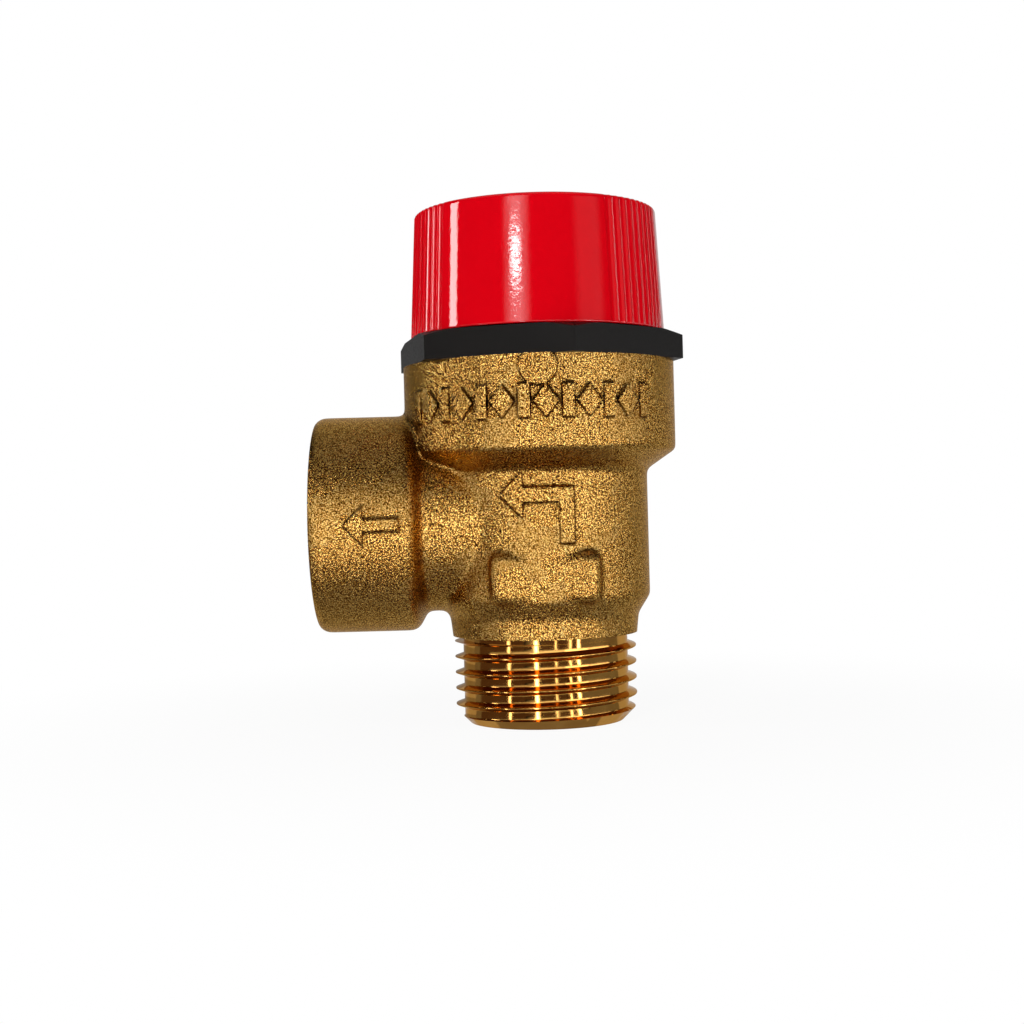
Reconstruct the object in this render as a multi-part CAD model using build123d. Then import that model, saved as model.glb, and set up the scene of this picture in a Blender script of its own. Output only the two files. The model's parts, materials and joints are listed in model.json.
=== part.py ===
from build123d import *

import os
from build123d.topology import SkipClean
from math import ceil, radians, tan

# Angle-pattern diaphragm pressure relief valve, in millimetres, +Z up.
# The origin is the centre of the inlet's end face. The outlet leaves along -X.

# ---------------------------------------------------------------- driving sizes

# G 1/2 parallel pipe thread, used at both connections
pipe_major_r = 10.4775
pipe_pitch = 1.814
pipe_flank_angle = 27.5
pipe_sectors = 8

# Inlet spigot
spigot_thread_end = 9.4
spigot_relief_width = 0.6
spigot_lead_in = 1.6
inlet_bore_r = 7.25
inlet_bore_depth = 12.0

# Forged body, outside
neck_r = 10.55
neck_top_r = 10.9
neck_top = 12.2
shoulder_height = 2.1
barrel_r = 12.25
barrel_top = 28.3
ledge_height = 2.6
bowl_r = 15.6
bowl_height = 10.05
forging_round = 0.9

# Outlet branch
outlet_z = 23.1
outlet_reach = 25.7
outlet_r = 12.4
outlet_length = 11.7
outlet_neck_r = 10.2
outlet_mouth_round = 1.3
outlet_thread_depth = 8.6
outlet_bore_depth = 9.7
passage_r = 6.2

# Body, inside
seat_bore_r = 6.5
seat_wall = 1.5
seat_height = 3.6
seat_lip = 0.8
seat_lip_height = 0.6
chamber_r = 10.0

# Raised marks of the forging
mark_height = 0.38
pad_width = 12.2
pad_height = 5.9
pad_drop = 0.4
pad_corner = 1.3
boss_r = 2.05
boss_side = 0.35
boss_drop = 1.3
boss_proud = 0.55
band_z = 35.9
band_marks = 13
band_step = 8.6
band_centre = -7.0
band_bar_width = 1.3
band_bar_height = 3.6
band_lozenge_width = 2.8
flow_mark_line = 1.6
flow_mark_size = 9.4
flow_mark_z = 24.6
outlet_arrow_line = 1.3
outlet_arrow_length = 6.0
outlet_arrow_start = 1.8

# Diaphragm and its clamp
diaphragm_thick = 1.5
slip_ring_thick = 1.0
slip_ring_width = 2.6

# Bonnet
bonnet_thread_r = 13.0
hex_apothem = 15.0
hex_corner_r = 17.05
hex_thick = 3.2
hex_turn = 12.5
hex_edge = 0.3
hex_crown_r = 15.2
hex_crown_angle = 22.0
adjuster_thread_r = 10.0
tower_wall = 1.5
tower_height = 7.0

# Manual lift: four ramps on the tower, and the same under the knob
ramp_count = 4
ramp_sweep = 70.0
lead_per_turn = 12.0
ramp_gap = 0.1
ramp_side_gap = 1.5

# Spring and its adjuster
wire_r = 0.9
spring_r = 6.4
spring_turns = 4.5
adjuster_thick = 3.0
adjuster_drop = 1.4
slot_width = 2.4
slot_depth = 1.4
plate_thick = 1.5
plate_rim = 0.9
plate_rim_width = 0.8

# Stem and its fasteners
stem_r = 2.5
nut_flats = 8.0
nut_thick = 2.7
washer_r = 5.2
washer_thick = 0.8

# Seal
seal_r = 8.2
seal_thick = 2.0
holder_wall = 0.8
holder_cup = 1.2
seal_washer_r = 4.5
seal_washer_thick = 0.8
screw_r = 2.0
screw_head_r = 3.5
screw_head_thick = 1.8
screw_length = 5.0
socket_flats = 2.5
socket_depth = 1.2

# Knob
knob_gap = 0.15
knob_height = 14.1
knob_bottom_r = 14.63
knob_top_r = 13.9
knob_skirt_r = 12.4
knob_top_thick = 2.4
knob_edge = 0.45
knob_seat_r = 8.0
knob_cap_thick = 1.0
knob_recess_r = 6.0
knob_hub_wall = 1.2
knob_hub_floor = 1.4
grip_groups = 3
grip_flutes = 10
grip_pitch = 4.13
grip_centre = 52.5
flute_r = 0.6
flute_depth = 0.2

# Clearances
thread_gap = 0.03
slide_gap = 0.2
seat_gap = 0.1
knob_hub_gap = 0.25

# ------------------------------------------------------------- derived levels

pipe_depth = 0.640327 * pipe_pitch
pipe_minor_r = pipe_major_r - pipe_depth
pipe_flat = pipe_pitch / 6

spigot_top = spigot_thread_end + spigot_relief_width
shoulder_top = neck_top + shoulder_height
bowl_bottom = barrel_top + ledge_height
bowl_top = bowl_bottom + bowl_height
ledge_z = bowl_bottom + 0.1
outlet_shoulder = outlet_reach - outlet_length
chamber_floor = outlet_z - passage_r
seat_z = chamber_floor + seat_height
seat_outer_r = seat_bore_r + seat_wall

diaphragm_top = ledge_z + diaphragm_thick
slip_ring_top = diaphragm_top + slip_ring_thick
slip_ring_r = bonnet_thread_r - seat_gap
slip_ring_bore = slip_ring_r - slip_ring_width

hex_bottom = bowl_top
hex_top = hex_bottom + hex_thick
tower_r = adjuster_thread_r + tower_wall
ramp_bottom = hex_top + tower_height
ramp_rise = lead_per_turn * ramp_sweep / 360
ramp_top = ramp_bottom + ramp_rise

adjuster_top = ramp_bottom - adjuster_drop
adjuster_bottom = adjuster_top - adjuster_thick
plate_top = diaphragm_top + plate_thick
plate_inner_r = spring_r + wire_r + seat_gap
spring_bottom = plate_top
spring_top = adjuster_bottom

hub_bottom = adjuster_top + knob_hub_gap
hub_floor = hub_bottom + knob_hub_floor
washer_top = hub_floor + washer_thick
nut_top = washer_top + nut_thick
knob_bottom = hex_top + knob_gap
knob_top = knob_bottom + knob_height
cap_bottom = knob_top - knob_cap_thick

seal_top = seat_z + seal_thick
holder_r = seal_r + holder_wall
holder_bottom = seal_top - holder_cup
stem_bottom = seal_top + screw_length - seal_thick + 0.5


# ------------------------------------------------------------------- helpers

def turned(points, rounds=None):
    """Turn a closed outline of (radius, z) points about Z, with optional corner radii."""
    if rounds is None:
        rounds = [0] * len(points)
    path = FilletPolyline(*[(r, 0, z) for r, z in points], radius=rounds, close=True)
    return revolve(make_face(path.edges()), Axis.Z)


def tube(inner_r, outer_r, bottom, top):
    """Return a plain ring standing on z = bottom."""
    ring = Circle(outer_r) - Circle(inner_r)
    return Pos(0, 0, bottom) * extrude(ring, top - bottom)


def disc(radius, bottom, top):
    """Return a plain round bar standing on z = bottom."""
    return Pos(0, 0, bottom) * extrude(Circle(radius), top - bottom)


def hex_bar(flats, bottom, top):
    """Return a hexagonal bar of the given width across flats."""
    outline = RegularPolygon(flats / 2, 6, major_radius=False)
    return Pos(0, 0, bottom) * extrude(outline, top - bottom)


def sectored(points, sectors):
    """Turn an outline about Z in equal sectors, keeping the seams between them."""
    face = make_face(Polyline(*[(r, 0, z) for r, z in points], close=True).edges())
    step = 360 / sectors
    wedges = [Rot(Z=i * step + step / 3) * revolve(face, Axis.Z, step) for i in range(sectors)]
    with SkipClean():
        return wedges[0].fuse(*wedges[1:])


def groove_turn(root_r, mouth_r, z):
    """Return one right-hand turn of the thread groove, starting at +X and at height z."""
    overrun = 0.05 if mouth_r > root_r else -0.05
    root_half = pipe_flat / 2
    mouth_half = root_half + (abs(mouth_r + overrun - root_r)) * tan(radians(pipe_flank_angle))
    section = Polyline(
        (root_r, 0, z - root_half),
        (root_r, 0, z + root_half),
        (mouth_r + overrun, 0, z + mouth_half),
        (mouth_r + overrun, 0, z - mouth_half),
        close=True,
    )
    spine = Edge.make_helix(pipe_pitch, pipe_pitch, (root_r + mouth_r) / 2, center=(0, 0, z))
    return Solid.sweep(Face(Wire(section.edges())), spine, is_frenet=True)


def cam_ring(inner_r, outer_r, bottom, lift=0.0):
    """Return a ring whose top carries the rising ramps, each ending in a sheer drop."""
    step = 360 / ramp_count
    low = ramp_bottom + lift
    high = ramp_top + lift
    headroom = 2 * ramp_rise
    ring = tube(inner_r, outer_r, bottom, high)
    section = Polyline(
        (inner_r - 0.5, 0, low),
        (outer_r + 0.5, 0, low),
        (outer_r + 0.5, 0, low + headroom),
        (inner_r - 0.5, 0, low + headroom),
        close=True,
    )
    face = Face(Wire(section.edges()))
    spine = Edge.make_helix(
        lead_per_turn, ramp_rise, (inner_r + outer_r) / 2, center=(0, 0, low)
    )
    above_ramp = Solid.sweep(face, spine, is_frenet=True)
    above_flat = Rot(Z=ramp_sweep) * revolve(face, Axis.Z, step - ramp_sweep)
    for i in range(ramp_count):
        ring = ring - Rot(Z=i * step) * above_ramp
        ring = ring - Rot(Z=i * step) * above_flat
    return ring


def save(shape, node):
    """Write one node's STEP file."""
    export_step(shape, f"parts/{node}.step")


# ---------------------------------------------------------------------- body

def threaded_spigot():
    """Return the inlet spigot with its helical male thread."""
    tip_r = pipe_major_r - spigot_lead_in
    relief_r = pipe_minor_r - 0.02
    spigot = sectored(
        [
            (0, 0),
            (tip_r, 0),
            (pipe_major_r, spigot_lead_in),
            (pipe_major_r, spigot_thread_end),
            (relief_r, spigot_thread_end),
            (relief_r, spigot_top),
            (0, spigot_top),
        ],
        pipe_sectors,
    )
    turns = ceil(spigot_thread_end / pipe_pitch + 0.5)
    with SkipClean():
        for i in range(turns + 1):
            z = spigot_thread_end - i * pipe_pitch
            spigot = spigot.cut(groove_turn(pipe_minor_r, pipe_major_r, z))
    return spigot


def forged_outside():
    """Return the forging above the spigot: neck, barrel, bowl and outlet branch."""
    trunk = turned(
        [
            (0, spigot_top),
            (neck_r, spigot_top),
            (neck_top_r, neck_top),
            (barrel_r, shoulder_top),
            (barrel_r, barrel_top),
            (bowl_r, bowl_bottom),
            (bowl_r, bowl_top),
            (0, bowl_top),
        ],
        [0, 0, forging_round, forging_round, forging_round, forging_round, 0, 0],
    )
    branch = turned(
        [
            (0, 0),
            (outlet_neck_r, 0),
            (outlet_neck_r, outlet_shoulder),
            (outlet_r, outlet_shoulder),
            (outlet_r, outlet_reach),
            (0, outlet_reach),
        ],
        [0, 0, forging_round, forging_round, outlet_mouth_round, 0],
    )
    return trunk + Pos(0, 0, outlet_z) * Rot(Y=-90) * branch


def flat_pad():
    """Return the spanner flat's pad, standing on the shoulder at the front."""
    bottom = shoulder_top - pad_drop
    outline = Pos(0, bottom + pad_height / 2) * Rectangle(pad_width, pad_height)
    upper = outline.vertices().sort_by(Axis.Y)[-2:]
    outline = fillet(upper, pad_corner)
    return Plane.XZ * extrude(outline, barrel_r)


def boss():
    """Return the round boss under the bonnet's rim."""
    height = bowl_top - boss_drop
    bar = Plane.XZ * extrude(Pos(-boss_side, height) * Circle(boss_r), bowl_r + boss_proud)
    return bar & disc(2 * bowl_r, bowl_bottom, bowl_top)


def band():
    """Return the ring of raised lozenges and bars round the front of the bowl."""
    shell = tube(bowl_r - 1, bowl_r + mark_height, bowl_bottom, bowl_top)
    reach = bowl_r + 2 * mark_height
    bar = extrude(RectangleRounded(band_bar_width, band_bar_height, band_bar_width / 3), reach)
    half_width = band_lozenge_width / 2
    half_height = band_bar_height / 2
    corners = [(half_width, 0), (0, half_height), (-half_width, 0), (0, -half_height)]
    lozenge = extrude(make_face(Polyline(*corners, close=True).edges()), reach)
    marks = []
    for i in range(band_marks):
        turn = band_centre + (i - (band_marks - 1) / 2) * band_step
        mark = lozenge if i % 2 else bar
        marks.append(Rot(Z=turn) * (Pos(0, 0, band_z) * (Plane.XZ * mark)))
    return [mark & shell for mark in marks]


def arrow(length, line):
    """Return a flat arrow outline that starts at the origin and points along +X."""
    head = 1.6 * line
    neck = length - head
    half = line / 2
    points = [(0, half), (neck, half), (neck, head), (length, 0)]
    points += [(x, -y) for x, y in reversed(points[:-1])]
    return make_face(Polyline(*points, close=True).edges())


def flow_mark():
    """Return the raised bent arrow on the barrel: in from below, out to the side."""
    half = flow_mark_size / 2
    stem = Pos(half - flow_mark_line, -half / 4) * Rectangle(flow_mark_line, 1.5 * half)
    level = half / 2 - flow_mark_line / 2
    point = Pos(half - flow_mark_line / 2, level) * Rot(Z=180) * arrow(flow_mark_size, flow_mark_line)
    outline = Pos(0, flow_mark_z) * (stem + point)
    shell = tube(barrel_r - 1, barrel_r + mark_height, neck_top, bowl_bottom)
    return Plane.XZ * extrude(outline, barrel_r + 1) & shell


def outlet_mark():
    """Return the raised arrow on the outlet branch, pointing out of the mouth."""
    start = outlet_shoulder + outlet_arrow_start
    outline = Pos(-start, outlet_z) * Rot(Z=180) * arrow(outlet_arrow_length, outlet_arrow_line)
    ring = Circle(outlet_r + mark_height) - Circle(outlet_r - 1)
    shell = Pos(0, 0, outlet_z) * Rot(Y=-90) * extrude(ring, outlet_reach)
    return Plane.XZ * extrude(outline, outlet_r + 1) & shell


def waterway():
    """Return the hollow of the body: inlet, seat, chamber and the bonnet's bore."""
    bore_r = bonnet_thread_r
    above = bowl_top + 1
    return turned(
        [
            (0, -1),
            (inlet_bore_r, -1),
            (inlet_bore_r, inlet_bore_depth),
            (seat_bore_r, inlet_bore_depth),
            (seat_bore_r, seat_z),
            (seat_bore_r + seat_lip, seat_z),
            (seat_outer_r, seat_z - seat_lip_height),
            (seat_outer_r, chamber_floor),
            (chamber_r, chamber_floor),
            (chamber_r, ledge_z),
            (bore_r, ledge_z),
            (bore_r, above),
            (0, above),
        ]
    )


def outlet_hole():
    """Return the outlet's tapping hole in sectors, the mouth's chamfer and the passage."""
    start = outlet_reach - outlet_bore_depth
    mouth = outlet_reach + 1
    hole = sectored([(0, start), (pipe_minor_r, start), (pipe_minor_r, mouth), (0, mouth)], pipe_sectors)
    chamfer = Pos(0, 0, outlet_reach - pipe_depth) * Cone(
        pipe_minor_r, pipe_minor_r + 2 * pipe_depth, 2 * pipe_depth, align=(Align.CENTER, Align.CENTER, Align.MIN)
    )
    return hole, chamfer, disc(passage_r, seat_outer_r, start + 1)


def make_body():
    """Assemble the valve body and cut its waterway and threads."""
    place = Pos(0, 0, outlet_z) * Rot(Y=-90)
    forging = forged_outside() + flat_pad() + Rot(Z=180) * flat_pad() + boss()
    forging = forging + band() + flow_mark() + outlet_mark()
    hole, chamfer, passage = outlet_hole()
    spigot = threaded_spigot()
    water = waterway()
    with SkipClean():
        body = forging.fuse(spigot)
        body = body.cut(water)
        body = body.cut(place * passage)
        body = body.cut(place * chamfer)
        body = body.cut(place * hole)
        turns = ceil(outlet_thread_depth / pipe_pitch)
        for i in range(turns):
            z = outlet_reach - outlet_thread_depth + i * pipe_pitch
            body = body.cut(place * groove_turn(pipe_major_r, pipe_minor_r, z))
    return body


# -------------------------------------------------------------------- bonnet

def make_bonnet():
    """Return the bonnet: threaded skirt, hexagonal flange and the cam tower."""
    hexagon = RegularPolygon(hex_apothem, 6, major_radius=False)
    flange = extrude(Rot(Z=hex_turn - 30) * hexagon & Circle(hex_corner_r), hex_thick)
    flange = chamfer(flange.edges().group_by(Axis.Z)[0], hex_edge)
    rim_r = hex_corner_r + 1
    drop = (rim_r - hex_crown_r) * tan(radians(hex_crown_angle))
    crown = [(0, -1), (rim_r, -1), (rim_r, hex_thick - drop), (hex_crown_r, hex_thick), (0, hex_thick)]
    flange = flange & turned(crown)
    skirt = disc(bonnet_thread_r - thread_gap, slip_ring_top, hex_bottom)
    shell = Pos(0, 0, hex_bottom) * flange + skirt
    shell = shell - disc(adjuster_thread_r, slip_ring_top - 1, hex_top + 1)
    return shell + cam_ring(adjuster_thread_r, tower_r, hex_top)


def make_adjuster():
    """Return the slotted ring nut that sets the spring load."""
    ring = tube(stem_r + slide_gap, adjuster_thread_r - thread_gap, adjuster_bottom, adjuster_top)
    slot = Pos(0, 0, adjuster_top) * Box(2 * adjuster_thread_r, slot_width, 2 * slot_depth)
    return ring - (slot - disc(adjuster_thread_r / 2, adjuster_bottom, adjuster_top + slot_depth))


def make_spring():
    """Return the compression spring with ground ends."""
    length = spring_top - spring_bottom
    pitch = (length - 2 * wire_r) / (spring_turns - 1)
    overrun = pitch / 2
    start = spring_bottom + wire_r - overrun
    height = pitch * spring_turns
    spine = Edge.make_helix(pitch, height, spring_r, center=(0, 0, start))
    section = Plane(origin=spine @ 0, z_dir=spine % 0) * Circle(wire_r)
    wire = sweep(section, spine, is_frenet=True)
    return wire & disc(2 * spring_r, spring_bottom, spring_top)


# ----------------------------------------------------------- diaphragm clamp

def make_spring_plate():
    """Return the dished plate that carries the spring on the diaphragm."""
    plate = tube(stem_r + thread_gap, plate_inner_r + plate_rim_width, diaphragm_top, plate_top)
    return plate + tube(plate_inner_r, plate_inner_r + plate_rim_width, plate_top, plate_top + plate_rim)


def make_nut(bottom):
    """Return a thin hexagon nut on the stem."""
    return hex_bar(nut_flats, bottom, bottom + nut_thick) - disc(stem_r + thread_gap, bottom, bottom + nut_thick)


# --------------------------------------------------------------- moving seal

def make_seal_holder():
    """Return the cup that holds the seal and backs the diaphragm."""
    cup = disc(holder_r, holder_bottom, ledge_z) - disc(seal_r, holder_bottom, seal_top)
    cup = cup - disc(screw_r + thread_gap, seal_top, stem_bottom)
    return cup - disc(stem_r + thread_gap, stem_bottom, ledge_z)


def make_seal_screw():
    """Return the socket screw that holds the seal and its washer."""
    head_top = seat_z - seal_washer_thick
    head_bottom = head_top - screw_head_thick
    screw = disc(screw_head_r, head_bottom, head_top)
    screw = fillet(screw.edges().sort_by(Axis.Z)[0], screw_head_thick / 3)
    screw = screw + disc(screw_r, head_top, head_top + screw_length)
    return screw - hex_bar(socket_flats, head_bottom - 1, head_bottom + socket_depth)


# ---------------------------------------------------------------------- knob

def knob_outside():
    """Return the knob's tapered outside with its three groups of grip flutes."""
    outline = turned(
        [(0, knob_bottom), (knob_bottom_r, knob_bottom), (knob_top_r, knob_top), (0, knob_top)],
        [0, 0, knob_edge, 0],
    )
    slope = (knob_bottom_r - knob_top_r) / knob_height
    overrun = knob_height
    foot_r = knob_bottom_r + slope * overrun / 2 + flute_r - flute_depth
    head_r = knob_top_r - slope * overrun / 2 + flute_r - flute_depth
    foot = Vector(foot_r, 0, knob_bottom - overrun / 2)
    head = Vector(head_r, 0, knob_top + overrun / 2)
    flute = Solid.make_cylinder(flute_r, (head - foot).length, Plane(origin=foot, z_dir=head - foot))
    flutes = []
    for group in range(grip_groups):
        for i in range(grip_flutes):
            turn = grip_centre + group * 360 / grip_groups + (i - (grip_flutes - 1) / 2) * grip_pitch
            flutes.append(Rot(Z=turn - 90) * flute)
    return outline - flutes


def make_knob():
    """Return the knob: fluted skirt, ramps that match the tower, hub and recesses."""
    plate_bottom = knob_top - knob_top_thick
    hub_r = knob_recess_r + knob_hub_wall
    cam_inner_r = adjuster_thread_r - seat_gap
    knob = knob_outside() - disc(knob_skirt_r, hub_bottom - knob_height, hub_bottom)
    knob = knob - tube(hub_r, knob_skirt_r, hub_bottom, ramp_bottom + ramp_gap)
    knob = knob - tube(hub_r, cam_inner_r, ramp_bottom, plate_bottom)
    matching = cam_ring(cam_inner_r - 1, knob_skirt_r, ramp_bottom - 1, ramp_gap)
    knob = knob - matching - Rot(Z=ramp_side_gap) * matching
    knob = knob + tube(stem_r, hub_r, hub_bottom, plate_bottom)
    knob = knob - disc(stem_r + slide_gap, hub_bottom - 1, knob_top)
    knob = knob - disc(knob_recess_r, hub_floor, knob_top)
    return knob - disc(knob_seat_r, cap_bottom, knob_top + 1)


def make_knob_cap():
    """Return the disc that closes the knob's recess."""
    cap = disc(knob_seat_r - seat_gap / 2, cap_bottom, knob_top)
    return chamfer(cap.edges().sort_by(Axis.Z)[-1], knob_cap_thick / 4)


# --------------------------------------------------------------------- files

save(make_body(), "body")
save(make_bonnet(), "bonnet")
save(make_adjuster(), "spring_adjuster")
save(make_spring(), "spring")
save(make_spring_plate(), "spring_plate")
save(make_nut(plate_top), "plate_nut")
save(tube(stem_r + thread_gap, slip_ring_r, ledge_z, diaphragm_top), "diaphragm")
save(tube(slip_ring_bore, slip_ring_r, diaphragm_top, slip_ring_top), "slip_ring")
save(disc(stem_r, stem_bottom, nut_top), "stem")
save(tube(stem_r + slide_gap, washer_r, hub_floor, washer_top), "lift_washer")
save(make_nut(washer_top), "lift_nut")
save(make_seal_holder(), "seal_holder")
save(tube(screw_r + thread_gap, seal_r, seat_z, seal_top), "seal_disc")
save(tube(screw_r + thread_gap, seal_washer_r, seat_z - seal_washer_thick, seat_z), "seal_washer")
save(make_seal_screw(), "seal_screw")
save(make_knob(), "knob")
save(make_knob_cap(), "knob_cap")
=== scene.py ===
"""Looks of an angle-pattern pressure relief valve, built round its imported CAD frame."""

import json
import logging
import math
from collections.abc import Iterator, Mapping, Sequence
from contextlib import contextmanager
from dataclasses import dataclass
from enum import Enum
from functools import cache

import bpy
from mathutils import Matrix, Vector


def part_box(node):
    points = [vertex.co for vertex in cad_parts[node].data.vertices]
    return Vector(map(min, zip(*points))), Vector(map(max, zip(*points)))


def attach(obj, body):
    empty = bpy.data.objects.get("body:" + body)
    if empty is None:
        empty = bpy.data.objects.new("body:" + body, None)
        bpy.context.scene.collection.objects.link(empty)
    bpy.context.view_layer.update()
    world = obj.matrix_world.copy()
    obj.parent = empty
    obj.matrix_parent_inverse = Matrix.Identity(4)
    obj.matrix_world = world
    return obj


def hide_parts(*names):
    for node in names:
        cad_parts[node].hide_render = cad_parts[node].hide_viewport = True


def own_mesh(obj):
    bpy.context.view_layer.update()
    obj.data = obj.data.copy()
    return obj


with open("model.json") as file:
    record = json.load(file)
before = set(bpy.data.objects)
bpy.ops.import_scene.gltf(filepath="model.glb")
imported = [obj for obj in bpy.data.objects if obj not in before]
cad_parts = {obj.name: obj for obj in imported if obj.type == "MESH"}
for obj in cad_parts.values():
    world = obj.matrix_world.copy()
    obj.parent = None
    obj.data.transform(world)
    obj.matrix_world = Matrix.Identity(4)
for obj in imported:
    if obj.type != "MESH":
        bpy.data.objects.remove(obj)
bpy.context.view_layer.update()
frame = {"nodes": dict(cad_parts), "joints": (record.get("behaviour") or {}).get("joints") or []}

MM = 0.001
LOG = logging.getLogger("valve")

Point = tuple[float, float]
Piece = bpy.types.Object


# ------------------------------------------------------------------- finishes

Value = float | Sequence[float] | bpy.types.NodeSocket


def linear(hex_colour: str) -> tuple[float, float, float, float]:
    """Turn an sRGB hex colour into the linear one that a shader takes.

    Args:
        hex_colour: Such as "#B98A3E".

    Returns:
        Red, green, blue and a full alpha.
    """
    parts = [int(hex_colour[i : i + 2], 16) / 255 for i in (1, 3, 5)]
    lit = [c / 12.92 if c <= 0.04045 else ((c + 0.055) / 1.055) ** 2.4 for c in parts]
    return (*lit, 1.0)


def add(
    tree: bpy.types.NodeTree,
    kind: str,
    inputs: Mapping[int | str, Value] | None = None,
    **settings: object,
) -> bpy.types.Node:
    """Add a node with its settings, and fill or link its inputs.

    Args:
        tree: The node tree.
        kind: Blender's name for the node's type.
        inputs: A value or another node's output for each input.
        **settings: The node's own properties.

    Returns:
        The new node.
    """
    node = tree.nodes.new(kind)
    for key, value in settings.items():
        setattr(node, key, value)
    for key, value in (inputs or {}).items():
        if isinstance(value, bpy.types.NodeSocket):
            tree.links.new(value, node.inputs[key])
        else:
            node.inputs[key].default_value = value
    return node


def begun(name: str) -> tuple[bpy.types.Material, bpy.types.NodeTree, bpy.types.NodeSocket]:
    """Start an empty material.

    Args:
        name: The material's name.

    Returns:
        The material, its node tree and the piece's own coordinates.
    """
    material = bpy.data.materials.new(name)
    material.use_nodes = True
    tree = material.node_tree
    tree.nodes.clear()
    place = add(tree, "ShaderNodeTexCoord").outputs["Object"]
    return material, tree, place


def clouded(
    tree: bpy.types.NodeTree,
    place: bpy.types.NodeSocket,
    size: float,
    tones: tuple[str, str],
    detail: float = 3.0,
) -> tuple[bpy.types.NodeSocket, bpy.types.NodeSocket]:
    """Let a surface drift between two tones in soft clouds.

    Args:
        tree: The material's node tree.
        place: The piece's own coordinates.
        size: How large a cloud is, in millimetres.
        tones: The dark and the light tone, as hex colours.
        detail: How many finer clouds lie in each.

    Returns:
        The cloud pattern and the drifting colour.
    """
    cloud = add(
        tree, "ShaderNodeTexNoise", {"Vector": place, "Scale": 1 / (size * MM), "Detail": detail}
    ).outputs["Fac"]
    dark, light = (linear(tone) for tone in tones)
    tint = add(tree, "ShaderNodeMix", {0: cloud, 6: dark, 7: light}, data_type="RGBA").outputs[2]
    return cloud, tint


def surfaced(
    material: bpy.types.Material, tree: bpy.types.NodeTree, inputs: Mapping[int | str, Value]
) -> bpy.types.Material:
    """Finish a material with its shader.

    Args:
        material: The material.
        tree: Its node tree.
        inputs: What the shader's inputs are set or linked to.

    Returns:
        The same material.
    """
    shader = add(tree, "ShaderNodeBsdfPrincipled", inputs)
    add(tree, "ShaderNodeOutputMaterial", {"Surface": shader.outputs["BSDF"]})
    return material


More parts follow.
